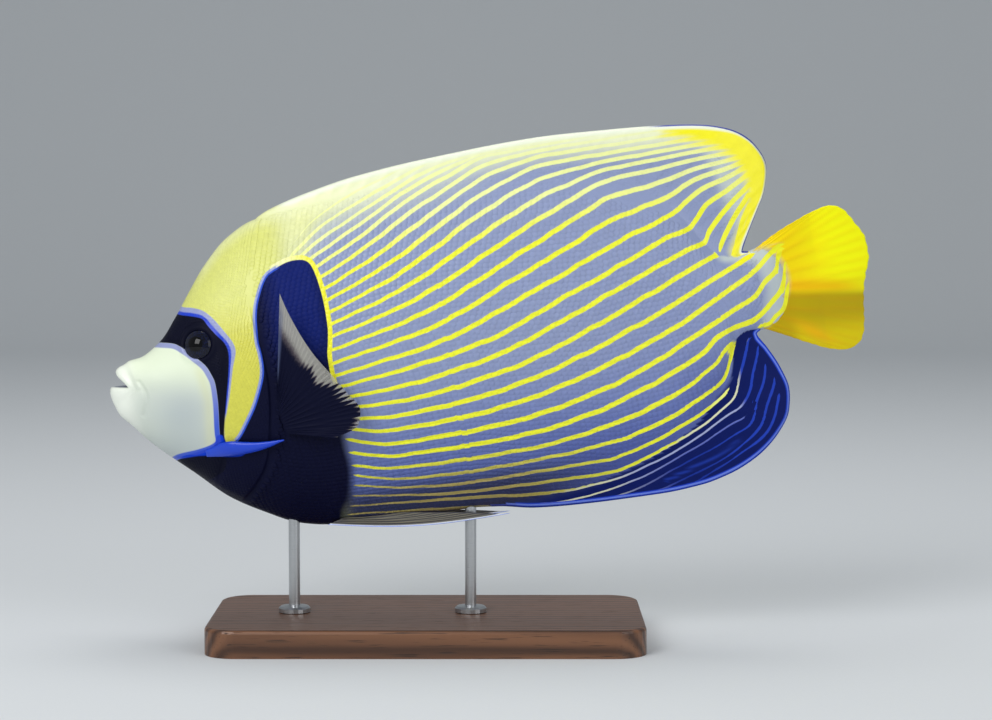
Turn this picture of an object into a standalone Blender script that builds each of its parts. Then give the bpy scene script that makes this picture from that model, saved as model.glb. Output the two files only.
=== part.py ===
"""Emperor angelfish, adult, life size, as a still museum model on a plain display stand.

The fish is drawn in its own straight frame, in millimetres: s runs from the snout to the tail,
h runs up from the body's axis, and y is the distance from the plane that halves the body. Its
left side is at negative y. One empty then tips the fish head down and lifts it over the stand.
The file's own unit is the metre, with +Z up, the head towards -X and the left flank towards -Y.
"""

import math

import bmesh
import bpy
import numpy as np
from mathutils import Matrix, Vector

MM = 0.001

# Pose of the fish over its stand
PITCH_DEG = 8.676  # head down
SNOUT_X = -168.7
SNOUT_Z = 111.6

# Clearances between touching pieces
GAP = 0.3
SKIN_GAP = 0.35  # under plates and fin roots that lie on a curved face

# Profile of the body without its fins: (s, h)
BACK = (
    (3, 6), (9, 10.2), (15.5, 11.2), (24, 16.5), (32, 25.5), (40, 36), (48, 46), (60, 57), (72, 62.6),
    (85, 64.6), (100, 66), (125, 67.8), (150, 68.5), (175, 67.5), (205, 64.3), (225, 59.5), (240, 52),
    (250, 46), (257, 39), (262, 31), (267, 23), (272, 17.4), (280, 15.8), (290, 17.4), (298, 19.5),
)
BELLY = (
    (-1, -4), (0, -8), (2, -13), (6, -17.2), (14, -27), (22, -34.6), (30, -42), (44, -55.2), (57, -63.4),
    (73, -71.2), (86, -73.8), (100, -74.6), (130, -75.5), (160, -76), (190, -75), (210, -72), (230, -66),
    (250, -56), (262, -44), (270, -30), (275, -19.5), (280, -17.2), (290, -17.4), (298, -19.5),
)
# Half width of the body, and the height at which it is widest
HALF_WIDTH = (
    (-1, 4), (5, 8.4), (10, 10.4), (20, 13.8), (30, 16.6), (45, 20.2), (60, 23), (80, 25.6), (100, 26.8),
    (125, 26.8), (160, 25), (190, 21.8), (220, 17.2), (245, 12.4), (262, 9), (275, 7), (285, 5.8),
    (292, 4.6), (298, 3.4),
)
WIDEST = ((-1, -1), (15, -2), (40, -4), (150, -4), (250, -3), (275, -0.5), (298, 0))
# How full the flanks are: 0.5 is an ellipse and 1 a lens with straight edges
LENS = ((-1, 0.5), (20, 0.58), (45, 0.66), (70, 0.72), (100, 0.76), (200, 0.76), (250, 0.68), (285, 0.52))
# Half thickness of the body along its top and bottom edges, where the fins stand
CREST = ((-1, 0.6), (60, 0.9), (76, 1.5), (100, 2.2), (200, 2.2), (245, 2), (281, 1.6), (298, 1.1))
KEEL = ((-1, 0.6), (100, 0.8), (150, 1.1), (172, 2), (240, 2), (275, 1.6), (298, 1.1))

# Lines round the body, each given by s at the back, the upper flank, the middle, the lower flank
# and the belly
CHEEK_FRONT = (32, 33.5, 34, 31, 25)
CHEEK_MIDDLE = (40.5, 42.5, 42.5, 38.5, 31.5)
CHEEK_EDGE = (50, 52.5, 51.5, 46.5, 38)
GILL_EDGE = (74, 67.5, 70.5, 65.5, 48)
TAIL_EDGE = (291, 296.5, 298, 296.5, 291)
STEM_START = 266
TRUNK_STRAIGHT = 104

# Mouth and snout, from the end of the mouth outwards: (s, h) on top, (s, h, half width) at the
# side and (s, h) below
MOUTH_RINGS = (
    ((13.0, 0.6), (13.5, -0.9, 3.5), (12.5, -2.2)),
    ((8.0, 3.2), (10.5, -0.9, 5.5), (6.0, -1.6)),
    ((4.6, 4.4), (8.8, -0.8, 6.6), (1.4, 0.4)),
    ((3.2, 4.9), (8.2, -0.8, 7.6), (-0.2, 0.2)),
    ((2.8, 6.4), (8.4, -0.9, 8.5), (-1.0, -2.0)),
    ((4.2, 8.1), (9.4, -1.0, 9.2), (-0.7, -5.0)),
    ((6.8, 9.0), (11.2, -1.6, 9.3), (0.0, -7.6)),
    ((9.5, 10.3), (13.2, -2.0, 10.9), (1.7, -12.2)),
    ((14.5, 11.0), (17.2, -2.5, 12.8), (6.0, -17.2)),
    ((19.5, 13.4), (22.0, -3.0, 14.4), (12.0, -24.7)),
    ((25.5, 17.9), (27.5, -3.4, 15.9), (18.5, -31.4)),
)
SNOUT_LENS = 0.54

# Eyes, nostrils and their rims
EYE_AT = (42.3, 14.0)
EYE_RADIUS = 7.4
EYE_DEPTH = 4.7
EYE_SUNK = 2.2
ORBIT_RADIUS = 7.3
ORBIT_RIM = 1.0
NOSTRILS = ((31.6, 17.2, 1.25), (34.4, 19.6, 1.45))  # s, h and radius
NOSTRIL_RIM = 0.5
NOSTRIL_DEPTH = 1.6

# Gill cover plates and the long spine at the corner of each cheek
PLATE = 1.2
PLATE_EDGE = 0.5
PLATE_ROWS = (5, 13)
PLATE_OVERHANG = 1.2
SPINE = (  # s, h, half height, thickness and distance off the skin
    (38, -33.8, 1.5, 0.6, 0.35), (42, -33.4, 2.3, 1.1, 0.6), (46, -32.8, 3.2, 1.6, 1.5),
    (50, -32.8, 3.3, 2.0, 1.95), (55, -33.2, 2.8, 2.0, 2.0), (61, -33.4, 2.1, 1.7, 2.1),
    (67, -33.0, 1.3, 1.3, 2.3), (71, -32.4, 0.7, 0.9, 2.5), (73.5, -32.1, 0.3, 0.5, 2.7),
)

# Fins on the middle plane: (s of the root, s and h of the margin)
DORSAL = (
    (79, 80, 66.0), (96, 100, 70.7), (113, 120, 75), (140, 150, 78.3), (187, 200, 80.3),
    (215, 235, 78.8), (230, 258, 77), (242, 273, 74.9), (250, 286, 70.8), (257, 295, 63.4),
    (263, 299.2, 53), (268, 297, 43), (273, 291.5, 33), (278, 286, 23.6), (281.5, 282.6, 18),
)
DORSAL_RAYS = 34
ANAL = (
    (160, 161, -77.6), (172, 176, -80.3), (186, 192, -81.6), (200, 210, -82.3), (215, 232, -82.6),
    (230, 250, -81.4), (240, 263, -78.5), (249, 276, -73), (256, 287, -64.5), (262, 293.5, -55),
    (267, 295, -45.5), (271, 292.3, -35.5), (276, 287.8, -26), (281, 283.6, -19.6),
)
ANAL_RAYS = 22
CAUDAL = (  # lens coordinate of the base from top to bottom, then s and h of the margin
    (1.0, 293, 19.8), (0.99, 301.3, 23.6), (0.97, 310.3, 26.7), (0.93, 319.5, 29.4), (0.86, 327.4, 30.8),
    (0.74, 333, 29.2), (0.6, 338.9, 21.5), (0.4, 343, 12.2), (0.2, 342.7, 5), (0.0, 339.7, -2),
    (-0.2, 337.7, -9.6), (-0.4, 337, -17.5), (-0.6, 336.4, -25.9), (-0.74, 333.5, -32.6),
    (-0.86, 327.3, -34.8), (-0.93, 319.4, -33.2), (-0.97, 310.2, -29), (-0.99, 301.2, -24.3),
    (-1.0, 293, -19.8),
)
CAUDAL_RAYS = 17
FIN_EDGE = 0.5  # half thickness at the margin of a fin on the middle plane
CAUDAL_EDGE = 0.35
RAY_RIDGE = 0.28
RAY_WIDTH = 0.36  # of the distance between two rays

# The tail's sweep away from the left side, and the fold of its fin about the middle ray
SWEEP_START = 262
SWEEP = 0.0054
FOLD = 0.42
FOLD_ROUND = 4

# Paired fins: (s, h) of the root and (s, h) of the margin, ray by ray from the leading edge
PECTORAL = (
    ((73.6, -12.6), (82.5, 31.0)), ((73.5, -14.6), (84.6, 22.9)), ((73.5, -16.8), (88.0, 13.2)),
    ((73.6, -19.1), (92.8, 3.0)), ((73.8, -21.5), (98.5, -6.2)), ((74.1, -24.0), (103.8, -14.5)),
    ((74.5, -26.2), (108.6, -23.2)), ((74.9, -28.0), (106.6, -30.0)), ((75.3, -29.4), (96.3, -33.8)),
)
PECTORAL_RAYS = 18
PECTORAL_ROOT = 1.1
PECTORAL_EDGE = 0.3
PECTORAL_OUT = {"left": 10.0, "right": 12.5}  # how far its margin stands off the flank
PELVIC = (
    ((85.0, -73.6), (165.0, -80.8)), ((86.5, -73.2), (160.0, -80.2)), ((88.0, -72.8), (152.0, -78.6)),
    ((89.5, -72.4), (142.0, -76.8)), ((91.0, -72.0), (130.0, -75.0)), ((92.5, -71.6), (118.0, -73.0)),
)
PELVIC_BOW = 3.0
PELVIC_RAYS = 6
PELVIC_ROOT = 0.9
PELVIC_EDGE = 0.3
PELVIC_CLEAR = 4.1  # from the middle plane, so that the rear rod passes between the two fins

# Display stand
BASE_LENGTH, BASE_WIDTH, BASE_HEIGHT = 190, 98, 12
BASE_CENTRE_X = -30
BASE_CORNER = 14
BASE_BEVEL = 1.5
ROD_RADIUS = 2.5
ROD_FOOT_RADIUS, ROD_FOOT_HEIGHT = 7, 2.5
ROD_SINK = 8  # how far a rod would run past the belly before it is cut to it
ROD_AT = {"stand_rod_front": 70, "stand_rod_rear": 148}  # s of the belly above each rod

RING = 16  # steps from the back to the belly on one side

COLOURS = {
    "head": (0.72, 0.76, 0.66), "gill_cover": (0.66, 0.65, 0.08), "trunk": (0.25, 0.29, 0.55),
    "tail_stem": (0.55, 0.58, 0.62), "dorsal_fin": (0.83, 0.85, 0.5), "anal_fin": (0.02, 0.03, 0.13),
    "caudal_fin": (0.95, 0.72, 0.0), "pectoral_fin": (0.01, 0.012, 0.04), "pelvic_fin": (0.25, 0.24, 0.25),
    "cheek_spine": (0.01, 0.08, 0.55), "eye": (0.01, 0.01, 0.02), "stand_base": (0.13, 0.065, 0.03),
    "stand_rod": (0.6, 0.6, 0.6),
}


def smooth(rows):
    """Returns a function through the rows (knot, value, ...) that never overshoots them."""
    table = np.array(sorted(rows), float)
    knots, values = table[:, 0], table[:, 1:]
    steps = np.diff(values, axis=0) / np.diff(knots)[:, None]
    slopes = np.zeros_like(values)
    slopes[0], slopes[-1] = steps[0], steps[-1]
    same = steps[:-1] * steps[1:] > 0
    total = np.where(same, steps[:-1] + steps[1:], 1)
    slopes[1:-1] = np.where(same, 2 * steps[:-1] * steps[1:] / total, 0)

    def value(x):
        x = min(max(x, knots[0]), knots[-1])
        i = min(np.searchsorted(knots, x, "right") - 1, len(knots) - 2)
        width = knots[i + 1] - knots[i]
        t = (x - knots[i]) / width
        out = (
            (1 + 2 * t) * (1 - t) ** 2 * values[i]
            + t * (1 - t) ** 2 * width * slopes[i]
            + t * t * (3 - 2 * t) * values[i + 1]
            + t * t * (t - 1) * width * slopes[i + 1]
        )
        return float(out[0]) if len(out) == 1 else out

    return value


back, belly, half_width, widest = smooth(BACK), smooth(BELLY), smooth(HALF_WIDTH), smooth(WIDEST)
lens, crest, keel = smooth(LENS), smooth(CREST), smooth(KEEL)


def section(s, u, grow=0.0):
    """Height and half width at s, where u runs from 1 on the back to -1 on the belly."""
    middle = widest(s)
    if u >= 0:
        h, edge = middle + (back(s) + grow - middle) * u, crest(s)
    else:
        h, edge = middle + (middle - belly(s) + grow) * u, keel(s)
    return h, edge + (half_width(s) - edge) * (1 - u * u) ** lens(s) + grow


def flank(s, h):
    """Half width of the body at a point of its side view."""
    middle = widest(s)
    reach = back(s) - middle if h >= middle else middle - belly(s)
    u = min(abs(h - middle) / reach, 1)
    return section(s, u if h >= middle else -u)[1]


def outward(s, h):
    """Unit vector out of the left flank at a point of its side view."""
    step = 0.5
    along = (flank(s + step, h) - flank(s - step, h)) / (2 * step)
    up = (flank(s, h + step) - flank(s, h - step)) / (2 * step)
    return Vector((-along, -1, -up)).normalized()


def sweep(s, h=0.0):
    """Sideways shift of the middle plane: the tail's sweep and the fold of its fin."""
    shift = SWEEP * max(s - SWEEP_START, 0) ** 2
    ramp = min(max((s - TAIL_EDGE[0]) / 26, 0), 1)
    if abs(h) < 40:
        shift += FOLD * ramp * (math.hypot(h + 3, FOLD_ROUND) - FOLD_ROUND)
    return shift


def body_ring(line, grow=0.0):
    """One side's points, from the back to the belly, along a line round the body."""
    at = smooth(tuple(zip((1, 0.5, 0, -0.5, -1), line)))
    points = []
    for k in range(RING + 1):
        u = math.cos(math.pi * k / RING)
        s = at(u)
        h, y = section(s, u, grow)
        points.append((s, y, h))
    return points


def snout_ring(top, side, bottom):
    """One side's points round the mouth or snout, from the top to the bottom."""
    points = []
    for k in range(RING + 1):
        u = math.cos(math.pi * k / RING)
        end = top if u >= 0 else bottom
        s = side[0] + (end[0] - side[0]) * abs(u) ** 1.3
        h = side[1] + (end[1] - side[1]) * abs(u)
        edge = crest(-1)
        points.append((s, edge + (side[2] - edge) * (1 - u * u) ** SNOUT_LENS, h))
    return points


def between(line_a, line_b, part):
    """A line round the body that lies between two others."""
    return tuple(a + (b - a) * part for a, b in zip(line_a, line_b))


def shifted(line, distance):
    """A line round the body moved along it."""
    return tuple(s + distance for s in line)


def place(obj, parent):
    """Puts the object in the scene, under the empty that poses the fish if one is given."""
    bpy.context.scene.collection.objects.link(obj)
    obj.parent = parent
    return obj


def new_object(name, points, faces, parent=None, bend=True):
    """Makes a mesh object from points in millimetres, with its faces out, and links it."""
    mesh = bpy.data.meshes.new(name)
    made = bmesh.new()
    verts = []
    for s, y, h in points:
        shift = sweep(s, h if name == "caudal_fin" else 99) if bend else 0
        verts.append(made.verts.new((s * MM, (y + shift) * MM, h * MM)))
    for face in faces:
        made.faces.new([verts[i] for i in face])
    bmesh.ops.triangulate(made, faces=made.faces, quad_method="FIXED", ngon_method="EAR_CLIP")
    bmesh.ops.recalc_face_normals(made, faces=made.faces)
    made.to_mesh(mesh)
    made.free()
    return place(bpy.data.objects.new(name, mesh), parent)


def loft(name, rings, parent=None):
    """A closed solid, alike on both sides, through rings of one side's points."""
    points, faces = [], []
    count = len(rings[0])
    for ring in rings:
        points += [(s, -y, h) for s, y, h in ring]
        points += [(s, y, h) for s, y, h in reversed(ring)]
    loop = 2 * count
    for k in range(len(rings) - 1):
        for j in range(loop):
            a, b = k * loop + j, k * loop + (j + 1) % loop
            faces.append((a, b, b + loop, a + loop))
    for start in (0, (len(rings) - 1) * loop):
        for j in range(count - 1):
            faces.append((start + j, start + j + 1, start + loop - 2 - j, start + loop - 1 - j))
    return new_object(name, points, faces, parent)


def sheet(name, near, far, parent=None):
    """A closed thin solid between two grids of points, split alike on both faces."""
    columns, rows = len(near), len(near[0])
    points = [p for grid in (near, far) for column in grid for p in column]
    half = columns * rows
    faces = []
    for c in range(columns - 1):
        for r in range(rows - 1):
            a, b = c * rows + r, (c + 1) * rows + r
            for base in (0, half):
                faces.append((base + a, base + b, base + b + 1))
                faces.append((base + a, base + b + 1, base + a + 1))
    rim = [c * rows for c in range(columns)]
    rim += [(columns - 1) * rows + r for r in range(1, rows)]
    rim += [c * rows + rows - 1 for c in range(columns - 2, -1, -1)]
    rim += [r for r in range(rows - 2, 0, -1)]
    for a, b in zip(rim, rim[1:] + rim[:1]):
        faces.append((a, b, b + half))
        faces.append((a, b + half, a + half))
    return new_object(name, points, faces, parent)


def torus(name, matrix, major, minor, around, across):
    """A closed ring, lying in the plane of the matrix."""
    points, faces = [], []
    for i in range(around):
        for j in range(across):
            a, b = 2 * math.pi * i / around, 2 * math.pi * j / across
            reach = major + minor * math.cos(b)
            points.append(matrix @ Vector((reach * math.cos(a), reach * math.sin(a), minor * math.sin(b))))
            near, far = i * across, (i + 1) % around * across
            faces.append((near + j, far + j, far + (j + 1) % across, near + (j + 1) % across))
    return new_object(name, points, faces, bend=False)


def ball(name, matrix, radii, parent=None, around=18):
    """A closed ball with three radii, in the matrix's own directions."""
    obj = place(bpy.data.objects.new(name, bpy.data.meshes.new(name)), parent)
    made = bmesh.new()
    bmesh.ops.create_uvsphere(made, u_segments=around, v_segments=around // 2 + 1, radius=1)
    made.transform(Matrix.Diagonal((*radii, 1)))
    made.transform(matrix)
    made.transform(Matrix.Scale(MM, 4))
    bmesh.ops.triangulate(made, faces=made.faces)
    bmesh.ops.recalc_face_normals(made, faces=made.faces)
    made.to_mesh(obj.data)
    made.free()
    return obj


def keep_largest(obj):
    """Deletes every closed surface of the object but the largest."""
    made = bmesh.new()
    made.from_mesh(obj.data)
    made.verts.ensure_lookup_table()
    islands, seen = [], set()
    for start in made.verts:
        if start in seen:
            continue
        island, queue = [], [start]
        seen.add(start)
        while queue:
            vert = queue.pop()
            island.append(vert)
            for edge in vert.link_edges:
                other = edge.other_vert(vert)
                if other not in seen:
                    seen.add(other)
                    queue.append(other)
        islands.append(island)
    islands.sort(key=len)
    for island in islands[:-1]:
        bmesh.ops.delete(made, geom=island, context="VERTS")
    bmesh.ops.triangulate(made, faces=made.faces)
    made.to_mesh(obj.data)
    made.free()


def combine(obj, pieces, operation):
    """Joins closed pieces to the object, or cuts them from it, and removes them."""
    group = bpy.data.collections.new("pieces")
    bpy.context.scene.collection.children.link(group)
    for piece in pieces:
        piece.hide_render = True
        piece.display_type = "WIRE"
        group.objects.link(piece)
    step = obj.modifiers.new("combine", "BOOLEAN")
    step.operand_type = "COLLECTION"
    step.collection = group
    step.operation = operation
    bpy.context.view_layer.update()
    result = bpy.data.meshes.new_from_object(obj.evaluated_get(bpy.context.evaluated_depsgraph_get()))
    obj.modifiers.clear()
    obj.data = result
    for piece in pieces:
        bpy.data.objects.remove(piece)
    bpy.data.collections.remove(group)
    keep_largest(obj)


def paint(obj, key, roughness=0.45, metallic=0.0):
    """Gives the object its own plain material."""
    material = bpy.data.materials.new(obj.name)
    material.use_nodes = True
    shader = material.node_tree.nodes["Principled BSDF"]
    shader.inputs["Base Color"].default_value = (*COLOURS[key], 1)
    shader.inputs["Roughness"].default_value = roughness
    shader.inputs["Metallic"].default_value = metallic
    obj.data.materials.clear()
    obj.data.materials.append(material)
    return obj


def mirrored(points, side):
    """Points of the left side, or their mirror image for the right."""
    sign = 1 if side == "left" else -1
    return [(s, sign * y, h) for s, y, h in points]


def face_matrix(s, h, sunk, side):
    """A frame on the flank, with its third axis out of the skin and its origin sunk below it."""
    out = outward(s, h)
    at = Vector((s, -flank(s, h), h)) - out * sunk
    if side == "right":
        out.y, at.y = -out.y, -at.y
    return Matrix.Translation(at) @ out.to_track_quat("Z", "Y").to_matrix().to_4x4()


def head_lines():
    """Lines round the head from the cheeks to the gill opening."""
    lines = [CHEEK_FRONT, CHEEK_MIDDLE, between(CHEEK_MIDDLE, CHEEK_EDGE, 0.5), CHEEK_EDGE]
    return lines + [between(CHEEK_EDGE, GILL_EDGE, part) for part in (0.2, 0.4, 0.6, 0.8, 1)]


def trunk_lines():
    """Lines round the trunk from the gill opening to the tail stem."""
    start = shifted(GILL_EDGE, GAP)
    lines = [between(start, (TRUNK_STRAIGHT,) * 5, part) for part in (0, 0.2, 0.45, 0.7, 1)]
    stops = (114, 126, 138, 150, 162, 174, 186, 198, 209, 219, 228, 236, 243, 249, 254, 258, 262)
    return lines + [(s,) * 5 for s in (*stops, STEM_START - GAP / 2)]


def stem_lines():
    """Lines round the tail stem from the trunk to the base of the tail fin."""
    start = (STEM_START + GAP / 2,) * 5
    lines = [start] + [(s,) * 5 for s in (269, 272, 275, 279)]
    return lines + [between((279,) * 5, TAIL_EDGE, part) for part in (0.25, 0.5, 0.75, 1)]


def edge_polyline(lines, row):
    """The faceted top or bottom edge of the body: s and h at each line round it."""
    ends = [body_ring(line)[row] for line in lines]
    return [p[0] for p in ends], [p[2] for p in ends]


def make_head(parent):
    """Snout with its mouth and lips, cheeks, orbits and nostrils, as one solid."""
    rings = [snout_ring(*ring) for ring in MOUTH_RINGS] + [body_ring(line) for line in head_lines()]
    head = loft("head", rings)
    rims, cutters = [], []
    for side in ("left", "right"):
        rims.append(torus("orbit", face_matrix(*EYE_AT, 0.2, side), ORBIT_RADIUS, ORBIT_RIM, 20, 6))
        grown = (EYE_RADIUS + GAP, EYE_RADIUS + GAP, EYE_DEPTH + GAP)
        cutters.append(ball("socket", face_matrix(*EYE_AT, EYE_SUNK, side), grown))
        for s, h, radius in NOSTRILS:
            rims.append(torus("nostril", face_matrix(s, h, 0, side), radius, NOSTRIL_RIM, 10, 5))
            pit = (radius * 0.75, radius * 0.75, NOSTRIL_DEPTH)
            cutters.append(ball("pit", face_matrix(s, h, 0, side), pit, around=8))
    combine(head, rims, "UNION")
    combine(head, cutters, "DIFFERENCE")
    head.parent = parent
    return paint(head, "head")


def make_eye(side, parent):
    """One eyeball, flattened as a fish's eye is."""
    matrix = face_matrix(*EYE_AT, EYE_SUNK, side)
    return paint(ball(f"eye_{side}", matrix, (EYE_RADIUS, EYE_RADIUS, EYE_DEPTH), parent), "eye", 0.1)


def make_gill_cover(side, parent):
    """The plate over one gill, from the edge of the cheek to just past the gill opening."""
    lines = head_lines()[3:] + [shifted(GILL_EDGE, PLATE_OVERHANG)]
    first, last = PLATE_ROWS
    near, far = [], []
    for k, line in enumerate(lines):
        ring = body_ring(line)[first:last + 1]
        thick = PLATE_EDGE if k in (0, len(lines) - 1) else PLATE
        inner, outer = [], []
        for j, (s, y, h) in enumerate(ring):
            full = PLATE_EDGE if j in (0, len(ring) - 1) else thick
            inner.append((s, -(y + SKIN_GAP), h))
            outer.append((s, -(y + SKIN_GAP + full), h))
        near.append(mirrored(inner, side))
        far.append(mirrored(outer, side))
    return paint(sheet(f"gill_cover_{side}", near, far, parent), "gill_cover")


def make_cheek_spine(side, parent):
    """The long backward spine at the lower corner of the cheek."""
    shape = ((-1, 0), (-0.65, 0.7), (0, 1), (0.65, 0.7), (1, 0))
    points, faces = [], []
    for s, h, half, thick, off in SPINE:
        ring = []
        for across, rise in shape:
            height = h + across * half
            ring.append((s, -(flank(s, height) + off + rise * thick), height))
        points += mirrored(ring, side)
    count, rings = len(shape), len(SPINE)
    for k in range(rings - 1):
        for j in range(count):
            a, b = k * count + j, k * count + (j + 1) % count
            faces.append((a, b, b + count, a + count))
    faces.append(tuple(range(count)))
    faces.append(tuple(range((rings - 1) * count, rings * count)))
    return paint(new_object(f"cheek_spine_{side}", points, faces, parent), "cheek_spine", 0.3)


def ray_columns(rays):
    """Places across a fin from 0 to 1, with a mark on each ray's crest."""
    pitch = 1 / (rays - 1)
    columns = []
    for k in range(rays):
        if k > 0:
            columns.append((pitch * (k - RAY_WIDTH / 2), 0))
        columns.append((pitch * k, 1))
        if k < rays - 1:
            columns.append((pitch * (k + RAY_WIDTH / 2), 0))
    return columns


def knotted(rows, first):
    """Rows with a knot in front, spaced as the points that start at index first are."""
    spots = np.array([row[first:] for row in rows], float)
    lengths = np.concatenate(([0], np.cumsum(np.linalg.norm(np.diff(spots, axis=0), axis=1))))
    return smooth([(knot, *row) for knot, row in zip(lengths / lengths[-1], rows)])


def make_median_fin(name, rows, rays, lines, row, thickness, parent):
    """The dorsal or the anal fin, whose root follows the faceted edge of the body."""
    edge_s, edge_h = edge_polyline(lines, row)
    up = 1 if row == 0 else -1
    at = knotted(rows, 1)
    steps = 5
    near, far = [], []
    for place_on, on_ray in ray_columns(rays):
        root_s, tip_s, tip_h = at(place_on)
        slope = (np.interp(root_s + 1, edge_s, edge_h) - np.interp(root_s - 1, edge_s, edge_h)) / 2
        normal = Vector((-slope, 1)).normalized() * up * GAP
        root = Vector((root_s, np.interp(root_s, edge_s, edge_h))) + normal
        tip = Vector((tip_s, tip_h))
        base = thickness(root_s)
        left, right = [], []
        for k in range(steps):
            part = (k / (steps - 1)) ** 1.2
            spot = root.lerp(tip, part)
            half = base + (FIN_EDGE - base) * part ** 0.7
            half += RAY_RIDGE * on_ray * min(4 * part * (1 - part) + 0.3 * part, 1)
            left.append((spot.x, -half, spot.y))
            right.append((spot.x, half, spot.y))
        near.append(left)
        far.append(right)
    return paint(sheet(name, near, far, parent), name)


def make_caudal_fin(parent):
    """The tail fin, whose root follows the end of the tail stem."""
    at = knotted(CAUDAL, 1)
    base_line = smooth(tuple(zip((1, 0.5, 0, -0.5, -1), shifted(TAIL_EDGE, GAP))))
    steps = 6
    near, far = [], []
    for place_on, on_ray in ray_columns(CAUDAL_RAYS):
        u, tip_s, tip_h = at(place_on)
        base_s = base_line(u)
        base_h, base_half = section(base_s, u)
        left, right = [], []
        for k in range(steps):
            part = k / (steps - 1)
            spot = Vector((base_s, base_h)).lerp(Vector((tip_s, tip_h)), part)
            half = CAUDAL_EDGE + (base_half - CAUDAL_EDGE) * (1 - part) ** 2.5
            half += RAY_RIDGE * on_ray * min(4 * part * (1 - part) + 0.2 * part, 1)
            left.append((spot.x, -half, spot.y))
            right.append((spot.x, half, spot.y))
        near.append(left)
        far.append(right)
    return paint(sheet("caudal_fin", near, far, parent), "caudal_fin")


def make_pectoral_fin(side, parent):
    """The fan-shaped fin behind one gill cover, spread and standing off the flank."""
    at = knotted([(*root, *tip) for root, tip in PECTORAL], 2)
    steps = 6
    near, far = [], []
    for place_on, on_ray in ray_columns(PECTORAL_RAYS):
        root_s, root_h, tip_s, tip_h = at(place_on)
        start = flank(root_s, root_h) + SKIN_GAP
        inner, outer = [], []
        for k in range(steps):
            part = k / (steps - 1)
            spot = Vector((root_s, root_h)).lerp(Vector((tip_s, tip_h)), part)
            full = 2 * (PECTORAL_EDGE + (PECTORAL_ROOT - PECTORAL_EDGE) * (1 - part) ** 1.5)
            ridge = RAY_RIDGE * on_ray * min(4 * part * (1 - part) + 0.2, 1)
            off = start + PECTORAL_OUT[side] * part ** 0.85
            inner.append((spot.x, -(off - ridge * min(part * 4, 1)), spot.y))
            outer.append((spot.x, -(off + full + ridge), spot.y))
        near.append(mirrored(inner, side))
        far.append(mirrored(outer, side))
    return paint(sheet(f"pectoral_fin_{side}", near, far, parent), "pectoral_fin")


def make_pelvic_fin(side, parent):
    """The narrow fin folded back along one side of the belly's keel."""
    at = knotted([(*root, *tip) for root, tip in PELVIC], 0)
    steps = 8
    near, far = [], []
    for place_on, on_ray in ray_columns(PELVIC_RAYS):
        root_s, root_h, tip_s, tip_h = at(place_on)
        inner, outer = [], []
        for k in range(steps):
            part = k / (steps - 1)
            spot = Vector((root_s, root_h)).lerp(Vector((tip_s, tip_h)), part)
            spot.y -= PELVIC_BOW * math.sin(math.pi * part) * (1 - place_on * 0.8)
            skin = flank(spot.x, max(spot.y, belly(spot.x)))
            off = max(skin + SKIN_GAP + 0.5 * min(part * 4, 1), PELVIC_CLEAR)
            full = 2 * (PELVIC_EDGE + (PELVIC_ROOT - PELVIC_EDGE) * (1 - part) ** 1.5)
            ridge = RAY_RIDGE * on_ray * min(4 * part * (1 - part) + 0.2, 1)
            inner.append((spot.x, -off, spot.y))
            outer.append((spot.x, -(off + full + ridge), spot.y))
        near.append(mirrored(inner, side))
        far.append(mirrored(outer, side))
    return paint(sheet(f"pelvic_fin_{side}", near, far, parent), "pelvic_fin")


def make_stand_base():
    """A flat base with round corners and a small bevel round its upper edge."""
    mesh = bpy.data.meshes.new("stand_base")
    made = bmesh.new()
    outline = []
    for turn, (sx, sy) in enumerate(((1, 1), (-1, 1), (-1, -1), (1, -1))):
        centre_x = BASE_CENTRE_X + sx * (BASE_LENGTH / 2 - BASE_CORNER)
        centre_y = sy * (BASE_WIDTH / 2 - BASE_CORNER)
        for k in range(9):
            angle = math.pi / 2 * (turn + k / 8)
            x = centre_x + BASE_CORNER * math.cos(angle)
            y = centre_y + BASE_CORNER * math.sin(angle)
            outline.append(made.verts.new((x * MM, y * MM, 0)))
    floor = made.faces.new(outline)
    raised = bmesh.ops.extrude_face_region(made, geom=[floor])
    top = [v for v in raised["geom"] if isinstance(v, bmesh.types.BMVert)]
    bmesh.ops.translate(made, verts=top, vec=(0, 0, BASE_HEIGHT * MM))
    rim = [e for e in made.edges if all(v.co.z > 0 for v in e.verts)]
    bmesh.ops.bevel(made, geom=rim, offset=BASE_BEVEL * MM, segments=2, profile=0.5, affect="EDGES")
    bmesh.ops.recalc_face_normals(made, faces=made.faces)
    made.to_mesh(mesh)
    made.free()
    return paint(place(bpy.data.objects.new("stand_base", mesh), None), "stand_base", 0.4)


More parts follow.
